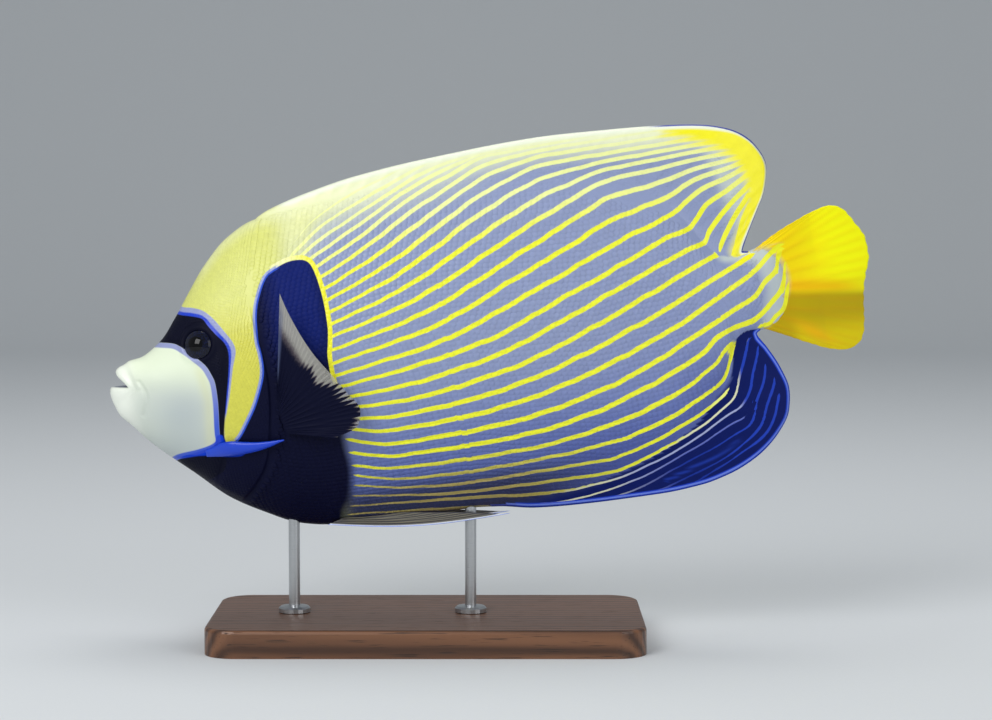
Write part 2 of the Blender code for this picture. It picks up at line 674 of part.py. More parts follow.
def make_rod(name, s, cutter, pose):
    """A turned rod with a round foot, cut to the belly that rests on it."""
    touch = pose @ Vector((s * MM, 0, belly(s) * MM))
    low, high = (BASE_HEIGHT + GAP) * MM, touch.z + ROD_SINK * MM
    foot = low + ROD_FOOT_HEIGHT * MM
    profile = (
        (0, low), (ROD_FOOT_RADIUS * MM, low), (ROD_FOOT_RADIUS * MM, foot - 0.8 * MM),
        ((ROD_FOOT_RADIUS - 0.8) * MM, foot), (ROD_RADIUS * MM, foot + 0.6 * MM),
        (ROD_RADIUS * MM, high), (0, high),
    )
    mesh = bpy.data.meshes.new(name)
    made = bmesh.new()
    chain = [made.verts.new((r, 0, z)) for r, z in profile]
    for a, b in zip(chain, chain[1:]):
        made.edges.new((a, b))
    bmesh.ops.spin(
        made, geom=made.edges[:] + made.verts[:], axis=(0, 0, 1), cent=(0, 0, 0),
        steps=20, angle=2 * math.pi, use_merge=True,
    )
    bmesh.ops.remove_doubles(made, verts=made.verts, dist=0.00001)
    bmesh.ops.recalc_face_normals(made, faces=made.faces)
    made.to_mesh(mesh)
    made.free()
    rod = place(bpy.data.objects.new(name, mesh), None)
    rod.location = (touch.x, 0, 0)
    combine(rod, [cutter], "DIFFERENCE")
    return paint(rod, "stand_rod", 0.3, 1.0)


def make_belly_cutter(pose):
    """The trunk grown by the gap, which shapes the upper end of a rod."""
    cutter = loft("belly_cutter", [body_ring(line, SKIN_GAP) for line in trunk_lines()])
    cutter.matrix_world = pose
    return cutter


def main():
    """Removes the scene's objects and builds the fish and its stand."""
    for obj in list(bpy.data.objects):
        bpy.data.objects.remove(obj)
    pose = Matrix.Translation((SNOUT_X * MM, 0, SNOUT_Z * MM)) @ Matrix.Rotation(-math.radians(PITCH_DEG), 4, "Y")
    fish = place(bpy.data.objects.new("fish", None), None)
    fish.matrix_world = pose

    make_head(fish)
    paint(loft("trunk", [body_ring(line) for line in trunk_lines()], fish), "trunk")
    paint(loft("tail_stem", [body_ring(line) for line in stem_lines()], fish), "tail_stem")
    body = trunk_lines() + stem_lines()
    make_median_fin("dorsal_fin", DORSAL, DORSAL_RAYS, body, 0, crest, fish)
    make_median_fin("anal_fin", ANAL, ANAL_RAYS, body, RING, keel, fish)
    make_caudal_fin(fish)
    for side in ("left", "right"):
        make_eye(side, fish)
        make_gill_cover(side, fish)
        make_cheek_spine(side, fish)
        make_pectoral_fin(side, fish)
        make_pelvic_fin(side, fish)
    make_stand_base()
    for name, s in ROD_AT.items():
        make_rod(name, s, make_belly_cutter(pose), pose)


main()
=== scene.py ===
"""Looks of the emperor angelfish display model: skin, scales, fins, eyes, stand and studio.

The fish is drawn in its own straight frame, in millimetres: s runs from the snout to the tail,
h runs up from the body's axis, and y is the distance from the plane that halves the body, with
the left side at negative y. A pose then tips it head down over its stand, in metres.
"""

import logging
import math
from dataclasses import dataclass, field
from enum import Enum
from typing import Callable

import bpy
import numpy as np
from mathutils import Matrix, Vector


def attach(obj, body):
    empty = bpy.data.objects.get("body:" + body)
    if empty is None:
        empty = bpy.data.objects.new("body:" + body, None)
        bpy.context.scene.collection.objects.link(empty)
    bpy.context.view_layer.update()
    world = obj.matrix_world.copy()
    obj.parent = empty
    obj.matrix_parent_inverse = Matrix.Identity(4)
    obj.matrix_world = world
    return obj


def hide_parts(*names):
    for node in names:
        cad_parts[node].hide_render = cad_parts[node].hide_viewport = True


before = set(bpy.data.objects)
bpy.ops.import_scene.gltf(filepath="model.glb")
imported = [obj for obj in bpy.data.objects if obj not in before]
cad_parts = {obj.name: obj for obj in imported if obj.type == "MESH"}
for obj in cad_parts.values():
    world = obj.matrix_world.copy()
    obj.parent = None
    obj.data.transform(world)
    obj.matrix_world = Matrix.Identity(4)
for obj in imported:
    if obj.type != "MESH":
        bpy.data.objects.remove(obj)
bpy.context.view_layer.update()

logging.basicConfig(level=logging.INFO, format="%(message)s")
LOG = logging.getLogger("angelfish")

MM = 0.001
Rows = tuple[tuple[float, ...], ...]
Five = tuple[float, float, float, float, float]
Colour = tuple[float, float, float, float]
Faces = list[tuple[int, ...]]
Array = np.ndarray
Piece = bpy.types.Object
Material = bpy.types.Material
Socket = bpy.types.NodeSocket


class Side(Enum):
    """A side of the fish, with the sign of its y."""

    LEFT = -1
    RIGHT = 1

    @property
    def word(self) -> str:
        """The side's name in piece names."""
        return self.name.lower()


def linear(code: str) -> Colour:
    """Turns an sRGB hex colour into linear light.

    Args:
        code: Six hex digits, with or without a leading hash.

    Returns:
        Red, green, blue and an alpha of 1.
    """
    digits = code.lstrip("#")
    channels = [int(digits[k:k + 2], 16) / 255 for k in (0, 2, 4)]
    return (*(c / 12.92 if c <= 0.04045 else ((c + 0.055) / 1.055) ** 2.4 for c in channels), 1.0)


def rise(low: float, high: float, x: Array) -> Array:
    """Climbs smoothly from 0 at low to 1 at high, or falls where high is the lesser."""
    t = np.clip((np.asarray(x, float) - low) / (high - low), 0, 1)
    return t * t * (3 - 2 * t)


def hump(distance: Array, width: float) -> Array:
    """A round hump of height 1 about a distance of 0."""
    return np.exp(-((distance / width) ** 2))


def hermite(t: Array, width: Array, values: tuple[Array, Array], slopes: tuple[Array, Array]) -> Array:
    """Reads a cubic between two knots.

    Args:
        t: The place between them, from 0 to 1.
        width: The distance between them.
        values: The values at both.
        slopes: The slopes at both.

    Returns:
        The value at each place.
    """
    rising = (1 + 2 * t) * (1 - t) ** 2 * values[0] + t * (1 - t) ** 2 * width * slopes[0]
    return rising + t * t * (3 - 2 * t) * values[1] + t * t * (t - 1) * width * slopes[1]


class Curve:
    """A smooth curve through rows (knot, value, ...) that never overshoots them."""

    def __init__(self, rows: Rows) -> None:
        """Sorts the rows and works out the slope at each knot.

        Args:
            rows: The knots and their values.
        """
        table = np.array(sorted(rows), float)
        self.knots, self.values = table[:, 0], table[:, 1:]
        steps = np.diff(self.values, axis=0) / np.diff(self.knots)[:, None]
        self.slopes = np.zeros_like(self.values)
        self.slopes[0], self.slopes[-1] = steps[0], steps[-1]
        same = steps[:-1] * steps[1:] > 0
        total = np.where(same, steps[:-1] + steps[1:], 1)
        self.slopes[1:-1] = np.where(same, 2 * steps[:-1] * steps[1:] / total, 0)

    def __call__(self, x: Array | float) -> Array:
        """Reads the curve.

        Args:
            x: One place or an array of them; past the ends the end values hold.

        Returns:
            An array shaped as x, with one more axis where the rows have several values.
        """
        x = np.clip(np.asarray(x, float), self.knots[0], self.knots[-1])
        i = np.clip(np.searchsorted(self.knots, x, "right") - 1, 0, len(self.knots) - 2)
        width = (self.knots[i + 1] - self.knots[i])[..., None]
        t = (x - self.knots[i])[..., None] / width
        values, slopes = self.values, self.slopes
        out = hermite(t, width, (values[i], values[i + 1]), (slopes[i], slopes[i + 1]))
        return out[..., 0] if out.shape[-1] == 1 else out


def knotted(rows: Rows, first: int) -> Curve:
    """A curve from 0 to 1, spaced as the points that start at index first of each row are.

    Args:
        rows: Rows of values.
        first: Where each row's own point starts.

    Returns:
        A curve whose values are the rows.
    """
    spots = np.array([row[first:first + 2] for row in rows], float)
    lengths = np.concatenate(([0], np.cumsum(np.linalg.norm(np.diff(spots, axis=0), axis=1))))
    return Curve(tuple((knot, *row) for knot, row in zip(lengths / lengths[-1], rows)))


def around(five: Five) -> Curve:
    """A line round the body, from its s at the back, upper flank, middle, lower flank and belly."""
    return Curve(tuple(zip((1, 0.5, 0, -0.5, -1), five)))


def between(line_a: Five, line_b: Five, part: float) -> Five:
    """A line round the body that lies between two others."""
    return tuple(a + (b - a) * part for a, b in zip(line_a, line_b))


def evenly(line: Array, count: int) -> tuple[Array, float]:
    """Sets points along a line at even distances.

    Args:
        line: Points in rows, whose first three values are the place.
        count: The number of steps.

    Returns:
        The new points, count + 1 of them, and the length of a step.
    """
    lengths = np.concatenate(([0], np.cumsum(np.linalg.norm(np.diff(line[:, :3], axis=0), axis=1))))
    at = np.linspace(0, lengths[-1], count + 1)
    points = np.stack([np.interp(at, lengths, line[:, k]) for k in range(line.shape[1])], axis=1)
    return points, lengths[-1] / count


@dataclass(frozen=True)
class Pose:
    """How the straight fish is tipped and lifted over its stand."""

    pitch: float = math.radians(8.676)  # head down
    snout_x: float = -168.7
    snout_z: float = 111.6

    def world(self, points: Array) -> Array:
        """Turns points (s, y, h) in millimetres into the frame's own, in metres.

        Args:
            points: Points in the last axis.

        Returns:
            Points (x, y, z).
        """
        s, y, h = points[..., 0], points[..., 1], points[..., 2]
        cos, sin = math.cos(self.pitch), math.sin(self.pitch)
        return np.stack((self.snout_x + s * cos - h * sin, y, self.snout_z + s * sin + h * cos), -1) * MM

    def fish(self, x: Array, z: Array) -> tuple[Array, Array]:
        """Turns the frame's x and z, in millimetres, into s and h.

        Args:
            x: Places.
            z: Heights.

        Returns:
            Both, s first.
        """
        cos, sin = math.cos(self.pitch), math.sin(self.pitch)
        x, z = x - self.snout_x, z - self.snout_z
        return x * cos + z * sin, z * cos - x * sin


@dataclass(frozen=True)
class Viewpoint:
    """Where the photo is taken from, over the left side."""

    target: tuple[float, float, float] = (0.26, 0.0, 123.9)
    distance: float = 1150.0
    elevation: float = math.radians(4.0)
    frame_width: float = 436.5  # across the image at the middle plane
    sensor: float = 36.0

    def place(self) -> Array:
        """The camera's place in millimetres."""
        away = np.array((0, -math.cos(self.elevation), math.sin(self.elevation)))
        return np.array(self.target) + self.distance * away

    def side_view(self, pose: Pose, points: Array) -> tuple[Array, Array]:
        """Where points of the left side show on the middle plane.

        The markings are drawn on the side view, so that they fall on the bulging flank as they
        do in life, and the right side takes the left one's.

        Args:
            pose: The pose of the fish.
            points: Points (s, y, h) in millimetres.

        Returns:
            Their s and h in the side view.
        """
        spots = pose.world(points) / MM
        eye = self.place()
        part = (eye[1] / (eye[1] - spots[..., 1]))[..., None]
        shown = eye + part * (spots - eye)
        return pose.fish(shown[..., 0], shown[..., 2])


@dataclass(frozen=True)
class BodyForm:
    """The body without its fins: its profile, its width and how full its flanks are."""

    back: Curve = Curve((
        (3, 6), (9, 10.2), (15.5, 11.2), (24, 16.5), (32, 25.5), (40, 36), (48, 46), (60, 57), (72, 62.6),
        (85, 64.6), (100, 66), (125, 67.8), (150, 68.5), (175, 67.5), (205, 64.3), (225, 59.5), (240, 52),
        (250, 46), (257, 39), (262, 31), (267, 23), (272, 17.4), (280, 15.8), (290, 17.4), (298, 19.5),
    ))
    belly: Curve = Curve((
        (-1, -4), (0, -8), (2, -13), (6, -17.2), (14, -27), (22, -34.6), (30, -42), (44, -55.2), (57, -63.4),
        (73, -71.2), (86, -73.8), (100, -74.6), (130, -75.5), (160, -76), (190, -75), (210, -72), (230, -66),
        (250, -56), (262, -44), (270, -30), (275, -19.5), (280, -17.2), (290, -17.4), (298, -19.5),
    ))
    half_width: Curve = Curve((
        (-1, 4), (5, 8.4), (10, 10.4), (20, 13.8), (30, 16.6), (45, 20.2), (60, 23), (80, 25.6), (100, 26.8),
        (125, 26.8), (160, 25), (190, 21.8), (220, 17.2), (245, 12.4), (262, 9), (275, 7), (285, 5.8),
        (292, 4.6), (298, 3.4),
    ))
    widest: Curve = Curve(((-1, -1), (15, -2), (40, -4), (150, -4), (250, -3), (275, -0.5), (298, 0)))
    lens: Curve = Curve((
        (-1, 0.5), (20, 0.58), (45, 0.66), (70, 0.72), (100, 0.76), (200, 0.76), (250, 0.68), (285, 0.52),
    ))
    crest: Curve = Curve((
        (-1, 0.6), (60, 0.9), (76, 1.5), (100, 2.2), (200, 2.2), (245, 2), (281, 1.6), (298, 1.1),
    ))
    keel: Curve = Curve(((-1, 0.6), (100, 0.8), (150, 1.1), (172, 2), (240, 2), (275, 1.6), (298, 1.1)))
    sweep_start: float = 262
    sweep: float = 0.0054  # sideways, away from the left side
    fold_start: float = 291
    fold_length: float = 26
    fold: float = 0.42  # of the tail fin about its middle ray
    fold_at: float = -3
    fold_round: float = 4

    def section(self, s: Array, u: Array) -> tuple[Array, Array]:
        """Height and half width at s, where u runs from 1 on the back to -1 on the belly.

        Args:
            s: Places along the fish.
            u: Places round the body.

        Returns:
            The h and the half width of each.
        """
        middle = self.widest(s)
        up = u >= 0
        reach = np.where(up, self.back(s) - middle, middle - self.belly(s))
        edge = np.where(up, self.crest(s), self.keel(s))
        full = np.clip(1 - u * u, 0, 1) ** self.lens(s)
        return middle + reach * u, edge + (self.half_width(s) - edge) * full

    def flank(self, s: Array, h: Array) -> Array:
        """Half width of the body at a place of its side view.

        Args:
            s: Places along the fish.
            h: Heights.

        Returns:
            The half widths.
        """
        middle = self.widest(s)
        reach = np.where(h >= middle, self.back(s) - middle, middle - self.belly(s))
        u = np.clip((h - middle) / reach, -1, 1)
        return self.section(s, u)[1]

    def outward(self, s: float, h: float) -> Vector:
        """Unit vector out of the left flank at a place of its side view.

        Args:
            s: The place along the fish.
            h: Its height.

        Returns:
            The vector.
        """
        step = 0.5
        along = (self.flank(s + step, h) - self.flank(s - step, h)) / (2 * step)
        up = (self.flank(s, h + step) - self.flank(s, h - step)) / (2 * step)
        return Vector((-float(along), -1, -float(up))).normalized()

    def shift(self, s: Array) -> Array:
        """How far the tail's sweep moves the middle plane."""
        return self.sweep * np.maximum(np.asarray(s, float) - self.sweep_start, 0) ** 2

    def tail_shift(self, s: Array, h: Array) -> Array:
        """The sweep with the fold of the tail fin.

        Args:
            s: Places along the fish.
            h: Heights.

        Returns:
            How far each place is moved sideways.
        """
        ramp = np.clip((s - self.fold_start) / self.fold_length, 0, 1)
        bend = np.hypot(h - self.fold_at, self.fold_round) - self.fold_round
        return self.shift(s) + self.fold * ramp * bend


# Lines round the head and the end of the tail stem
CHEEK_FRONT: Five = (32, 33.5, 34, 31, 25)
CHEEK_MIDDLE: Five = (40.5, 42.5, 42.5, 38.5, 31.5)
CHEEK_EDGE: Five = (50, 52.5, 51.5, 46.5, 38)
GILL_EDGE: Five = (74, 67.5, 70.5, 65.5, 48)
TAIL_EDGE: Five = (291, 296.5, 298, 296.5, 291)
TRUNK_STRAIGHT = 104.0
STEM_STRAIGHT = 279.0
EYE_AT = (42.3, 14.0)

# Fins on the middle plane: s of the root, s and h of the margin
DORSAL: Rows = (
    (72, 72, 62.8), (79, 80, 66.6), (96, 100, 71.9), (113, 120, 75.5), (140, 150, 78.3), (187, 200, 80.3),
    (215, 235, 78.8), (230, 258, 77), (242, 273, 74.9), (250, 286, 70.8), (257, 295, 63.4),
    (263, 299.2, 53), (268, 297, 43), (273, 291.5, 33), (278, 286, 23.6), (281.5, 283, 17.6),
    (286, 286.4, 16.8),
)
ANAL: Rows = (
    (148, 148, -75.9), (160, 161, -77.4), (172, 176, -80.3), (186, 192, -81.6), (200, 210, -82.3),
    (215, 232, -82.6), (230, 250, -81.4), (240, 263, -78.5), (249, 276, -73), (256, 287, -64.5),
    (262, 293.5, -55), (267, 295, -45.5), (271, 292.3, -35.5), (276, 287.8, -26), (281, 284, -19.4),
    (286, 286.3, -17.6),
)


@dataclass(frozen=True)
class Outline:
    """A closed area of the side view, drawn through a few points."""

    points: Rows
    steps: int = 5  # between two points

    def path(self) -> Array:
        """The smooth closed line through the points.

        Returns:
            Its points in rows.
        """
        p = np.array(self.points, float)
        t = (np.arange(self.steps) / self.steps)[None, :, None]
        before, start, end, after = (np.roll(p, k, axis=0)[:, None] for k in (1, 0, -1, -2))
        curve = 0.5 * (
            2 * start + (end - before) * t + (2 * before - 5 * start + 4 * end - after) * t ** 2
            + (3 * start - before - 3 * end + after) * t ** 3
        )
        return curve.reshape(-1, 2)

    def inside(self, s: Array, h: Array) -> Array:
        """Distance in from the line in millimetres, negative outside it.

        Args:
            s: Places along the fish.
            h: Heights.

        Returns:
            The distances.
        """
        a = self.path()
        b = np.roll(a, -1, axis=0)
        distance = from_line(s, h, a, b)
        crossings = np.zeros(s.shape, int)
        for (s0, h0), (s1, h1) in zip(a, b):
            if h0 != h1:
                spans = (h0 > h) != (h1 > h)
                crossings += spans & (s < s0 + (h - h0) * (s1 - s0) / (h1 - h0))
        return np.where(crossings % 2 == 1, distance, -distance)


def from_line(s: Array, h: Array, starts: Array, ends: Array) -> Array:
    """Distance of each place (s, h) from the nearest of some straight pieces.

    Args:
        s: Places along the fish.
        h: Heights.
        starts: The start of each piece.
        ends: The end of each.

    Returns:
        The distances.
    """
    nearest = np.full(s.shape, 1e9)
    for (s0, h0), (s1, h1) in zip(starts, ends):
        ds, dh = s1 - s0, h1 - h0
        square = max(ds * ds + dh * dh, 1e-9)
        t = np.clip(((s - s0) * ds + (h - h0) * dh) / square, 0, 1)
        nearest = np.minimum(nearest, np.hypot(s - s0 - t * ds, h - h0 - t * dh))
    return nearest


def from_path(s: Array, h: Array, rows: Rows, steps: int = 5) -> Array:
    """Distance from a smooth open line through a few points.

    Args:
        s: Places along the fish.
        h: Heights.
        rows: The points.
        steps: Straight pieces for each point.

    Returns:
        The distances.
    """
    curve = knotted(tuple((0.0, *row) for row in rows), 1)
    path = curve(np.linspace(0, 1, steps * len(rows)))[:, 1:]
    return from_line(s, h, path[:-1], path[1:])


@dataclass(frozen=True)
class Stripes:
    """A family of stripes, drawn by every few of them as numbered lines of the side view."""

    lines: tuple[tuple[float, Rows], ...]
    least_gap: float = 0.4

    def count(self, s: Array, h: Array) -> Array:
        """The stripe number at each place, whole on the middle of a stripe.

        Args:
            s: Places along the fish.
            h: Heights.

        Returns:
            Numbers that grow downwards.
        """
        numbers = np.array([number for number, _ in self.lines])
        depth = -np.stack([Curve(rows)(s) for _, rows in self.lines], axis=-1)
        gaps = np.maximum(np.diff(depth, axis=-1), self.least_gap)
        depth = np.concatenate((depth[..., :1], depth[..., :1] + np.cumsum(gaps, axis=-1)), axis=-1)
        steps = np.diff(numbers) / gaps
        slopes = np.concatenate((
            steps[..., :1], 2 * steps[..., :-1] * steps[..., 1:] / (steps[..., :-1] + steps[..., 1:]),
            steps[..., -1:],
        ), axis=-1)
        x = -h
        i = np.clip((depth <= x[..., None]).sum(-1) - 1, 0, len(numbers) - 2)[..., None]

        def pick(values: Array, k: Array) -> Array:
            """The value of each place's own line."""
            return np.take_along_axis(values, k, axis=-1)[..., 0]

        x0, width = pick(depth, i), pick(gaps, i)
        t = (x - x0) / width
        low, high = numbers[i[..., 0]], numbers[i[..., 0] + 1]
        m0, m1 = pick(slopes, i), pick(slopes, i + 1)
        inner = hermite(t, width, (low, high), (m0, m1))
        return np.where(t < 0, low + (x - x0) * m0, np.where(t > 1, high + (x - x0 - width) * m1, inner))


# Stripes of the flank, from the nape down to the keel
FLANK_LINES = (
    (7, ((85, 44), (100, 55.2), (110, 60.2), (130, 68.4), (160, 78), (300, 84))),
    (10, ((88, 35), (100, 40.4), (120, 50.2), (140, 61.4), (160, 69.6), (180, 76), (300, 79))),
    (13, ((95, 22), (110, 27.8), (130, 36.2), (150, 47), (170, 57.8), (190, 65.4), (203, 68.4), (300, 70))),
    (16, ((95, 6.8), (110, 10.4), (130, 15.8), (150, 23.2), (170, 32.6), (190, 42), (210, 50.4),
          (230, 57.4), (250, 58.8), (270, 60.6), (290, 61.3))),
    (19, ((95, -10), (120, -6.2), (140, -3), (160, 2.6), (180, 10.4), (200, 18), (230, 30), (257, 39.5),
          (262, 43), (270, 47.5), (280, 50.3), (290, 54))),
    (20, ((95, -15), (120, -12.4), (150, -7.8), (170, -3.2), (200, 8.4), (230, 19.8), (250, 28), (261, 31),
          (265, 34.5), (270, 40), (280, 45), (290, 50.5))),
    (21, ((95, -20.2), (130, -18.2), (150, -15.2), (170, -11.2), (190, -4.6), (210, 3), (240, 14.6),
          (260, 22), (267, 24), (270, 28.6), (280, 38.4), (290, 46))),
    (22, ((95, -24), (120, -25), (140, -23.8), (160, -20.8), (180, -16.8), (200, -10.4), (220, -3),
          (250, 9.2), (268, 16.5), (285, 22))),
    (23, ((95, -28.3), (120, -31.1), (150, -29.5), (180, -24.7), (210, -16), (230, -8.7), (250, -1),
          (257.6, 2.5), (267.9, 7.2), (278, 11.4), (286, 15), (298, 19))),
    (24, ((95, -32.7), (120, -37.1), (150, -36.2), (180, -32.5), (210, -25.1), (230, -18.3), (250, -10.6),
          (270, -0.7), (285, 7.1), (289.3, 10), (293.7, 13.8), (299, 18))),
    (25, ((95, -37), (120, -43.2), (150, -42.8), (180, -40.4), (210, -34.2), (230, -28), (250, -19.4),
          (265, -12.4), (275, -7.6), (285.5, -2.8), (290.8, 2.8), (296.6, 7.6), (297.9, 12.4), (300, 16))),
    (26, ((95, -43), (120, -48.6), (150, -48.9), (180, -47.6), (210, -42.4), (230, -36.2), (250, -28.6),
          (260, -23.6), (267, -18), (276, -14.7), (282.5, -13.4), (287.4, -10.7), (292.5, -6.4),
          (297.8, -0.9), (300.1, 5.8), (300.8, 10.1))),
    (27, ((95, -49), (120, -54), (150, -54.8), (180, -54.2), (210, -50.2), (230, -45.4), (250, -38),
          (260, -32.2), (265, -29), (268, -25.4), (272, -22), (284.6, -16.6), (290, -15.6), (293.4, -12.9),
          (297, -10.3), (299.9, -3.7), (301.9, 2.9))),
    (28, ((95, -53), (120, -59), (150, -60.4), (190, -59.2), (220, -56), (240, -50.4), (260, -41.2),
          (266, -37.5), (269, -33), (272, -26), (274, -24), (300, -20))),
    (30, ((95, -63), (150, -69.2), (210, -70.2), (230, -65.4), (250, -57.8), (257.3, -54.3),
          (263.5, -50.3), (269, -46.6), (271.2, -44), (272.6, -40), (274.4, -35.3), (276.6, -30.3),
          (278.8, -24.5), (280.3, -20.6), (284, -19.4), (290, -18.4))),
    (31, ((95, -67.5), (150, -72), (190, -75.2), (210, -73.8), (230, -69), (253.7, -59.6), (259.8, -56.1),
          (267.1, -52.4), (271.8, -50.4), (274.5, -47.8), (276.8, -44.6), (278.4, -41), (279.6, -36.9),
          (281.2, -32.7), (283, -28), (284.5, -22.5), (287, -20.5), (290, -19.5))),
    (33, ((95, -75), (190, -84), (220, -79.5), (246.5, -70.2), (258.3, -66.2), (269, -61.4), (273.2, -59.8),
          (276.2, -57.6), (277.9, -54.2), (279, -50.3), (280.8, -46.5), (283, -42.6), (284.9, -37.7),
          (285.7, -33.6), (287, -26), (289, -22))),
    (34, ((95, -82), (200, -88.5), (230, -81.5), (250, -75.8), (263.1, -71.1), (272.3, -65.8),
          (277.9, -61.7), (281.6, -57.2), (283.3, -52.4), (285.6, -47.8), (288.2, -42.5), (289.2, -38),
          (290.2, -30), (292, -24))),
    (35, ((95, -86), (210, -92.5), (240, -84), (250, -79), (262.8, -73.6), (270, -70), (277.2, -66.5),
          (282.2, -62.9), (286.4, -56.8), (288.4, -51.6), (290, -46.5), (291.6, -38), (293.5, -20))),
    (36, ((95, -90), (210, -97), (240, -90), (250, -86), (262, -82.5), (276, -77), (286, -69), (292, -60),
          (295.5, -50), (298, -38))),
)
# Stripes that run out on the rear lobe of the dorsal fin
DORSAL_LINES = FLANK_LINES[:7] + (
    (22, ((95, -24), (200, -10.4), (250, 9.2), (268, 16), (272.5, 19.5), (276, 25), (282, 33.5),
          (289, 41.5))),
    (23, ((95, -30), (250, 0), (268, 9), (276, 12), (279.5, 18), (282, 24), (285, 31), (289, 37))),
)
# Stripes of the rear lobe of the anal fin, which turn up along its margin
ANAL_LINES = FLANK_LINES[:12] + (
    (27, (*FLANK_LINES[12][1][:9], (268, -25), (272, -21.5), (284.6, -16.6), (290, -15.8))),
    (28, (*FLANK_LINES[13][1][:10], (274, -22.8), (278, -19.6), (284, -18), (290, -17))),
) + FLANK_LINES[14:]

# Areas of the head and breast in the side view
MUZZLE = Outline((
    (20, 17.5), (24, 16.5), (30, 15), (34, 12), (38, 8), (42, 3.5), (44, -1), (45, -5), (45, -12),
    (44.5, -18), (43.8, -24), (43.5, -28), (43.5, -31), (40, -33.4), (33, -34.8), (24, -35.6), (16, -38),
    (-12, -38), (-16, -8), (-12, 18), (6, 22),
))
MASK = Outline((
    (31, 30), (34, 27.5), (40, 25.7), (44, 24), (46, 20.5), (49, 16), (52, 12), (53, 8), (52.5, 3),
    (51, -4), (49.5, -10), (48, -16), (46.6, -22), (45.4, -28), (45, -34), (38, -46), (-12, -46), (-16, 0),
    (-12, 36), (24, 34),
))
MASK_RIM = Outline((
    (31, 35), (36, 30.7), (40, 29.6), (44, 28), (47, 25.5), (50, 21.5), (53, 16.5), (55.5, 12), (56.3, 8.5),
    (55.5, 5), (54, 1), (52, -6), (50.3, -12), (48.6, -17), (47, -22), (45.8, -28), (45.2, -34), (38, -46),
    (-12, -46), (-16, 0), (-12, 40), (24, 40),
))
FRONT_LINE: Rows = (
    (50.8, -31), (56, -24), (60, -18), (63, -12), (65.5, -6), (66.5, -1), (66.5, 5), (66, 10), (66.3, 16),
    (67, 22), (68.3, 27), (70, 31), (72, 35), (75, 39), (79, 41.2),
)
RIM_LINE: Rows = (
    (79, 41.2), (84, 43), (88, 43.5), (92, 43), (94.5, 41), (96, 37), (97.3, 30), (98, 22), (98, 12),
    (97, 5), (96, 0), (96, -8), (96.5, -13),
)
DARK = Outline((
    (52, -29.5), *FRONT_LINE[1:-1], (79.5, 41.3), *RIM_LINE[1:], (98, -22), (98, -30),
    (98, -40), (99, -50), (98, -58), (96, -65), (92, -72), (90, -92), (8, -92),
    (8, -52), (24, -35.6), (33, -35), (40, -33.6), (44, -31), (46.5, -31.4), (49, -31.6),
))
SPINE_BAND = Outline((
    (22, -34.6), (29, -34), (35, -33.2), (40, -32), (42, -28), (44.6, -28), (46, -31.5), (52, -32.4),
    (54, -35.5), (52, -38.4), (45, -37.8), (40, -36.6), (33, -35.6), (25, -35.5),
))
GOLD = Outline((
    (256, 76), (268, 70), (279, 64.5), (286, 58), (289, 50), (289, 42), (286.4, 33.5), (283.5, 27.4),
    (280.9, 22.6), (278.6, 17.6), (284, 15), (294, 28), (304, 40), (306, 60), (296, 80), (272, 86),
))
MAXILLA_FOLD: Rows = ((13.6, 1.5), (15.4, -2), (16.2, -6), (15, -10), (13, -13.5))
STRIPE_START: Rows = (
    (-90, 88), (-69, 95), (-64, 97), (-60, 98.5), (-55, 99.5), (-50, 99.5), (-38, 98.5), (-34, 99.5),
    (-30, 100), (-25, 100), (-19, 99), (-14.5, 97.5), (-9.5, 96), (2, 96), (13, 97.4), (24, 97.6),
    (34, 96.4), (40, 94.6), (46, 86), (52, 90), (60, 98), (66, 108), (80, 120),
)
CREAM_FROM: Rows = (
    (60, 36), (80, 44), (90, 50), (97, 57), (105, 62.5), (130, 68), (150, 70.5), (200, 72), (240, 69),
    (262, 68), (300, 60),
)
ANAL_DARK_FROM: Rows = (
    (150, -90), (175, -77), (200, -73.5), (225, -66), (240, -57), (250, -50.5), (262, -44.8), (269.8, -37.2),
    (272.4, -26), (274, -19), (276.6, -15), (300, 30),
)
# Number of each stripe of the anal fin's lobe that runs up to its top, and the h where it ends
LOBE_TOPS: Rows = ((30, -20.9), (31, -25.2), (33, -33.6), (34, -40.5), (35, -47.3))
HAIRPIN: Rows = ((270.9, -25.3), (273.1, -22))
SHORT_LINE: Rows = ((235, -77.5), (249.5, -72.9), (257.7, -70.2), (263.6, -67.8), (269.7, -64.6))


@dataclass(frozen=True)
class SkinColours:
    """Colours of the living skin, as the flash shows them, with painted light on the muzzle's top and lips
    and painted shade inside the mouth.
    """

    ground: str = "#8e9abf"
    ground_low: str = "#6475b6"
    ground_deep: str = "#3b4c9c"
    belly: str = "#272c46"
    anal_dark: str = "#0a195c"
    cream: str = "#f4f8cc"
    nape: str = "#dde07a"
    bar: str = "#d9d650"
    gold: str = "#fff500"
    stem_white: str = "#c9d3cb"
    stripe: str = "#f8f92c"
    stripe_pale: str = "#f3f8a4"
    stripe_ochre: str = "#b4a564"
    stripe_cream: str = "#e0e0bc"
    stripe_grey: str = "#a3abd2"
    stripe_blue: str = "#2341b4"
    # partly the muzzle's own pale colour, partly painted light from above
    muzzle_top_lit: str = "#eef8dc"
    muzzle_middle: str = "#d5ddd0"
    muzzle_low: str = "#aab5bd"
    muzzle_green: str = "#dfe0a0"
    # painted light on the front of the lips
    lip_painted_light: str = "#fbfff2"
    # painted shade inside the mouth
    mouth: str = "#8a8fa0"


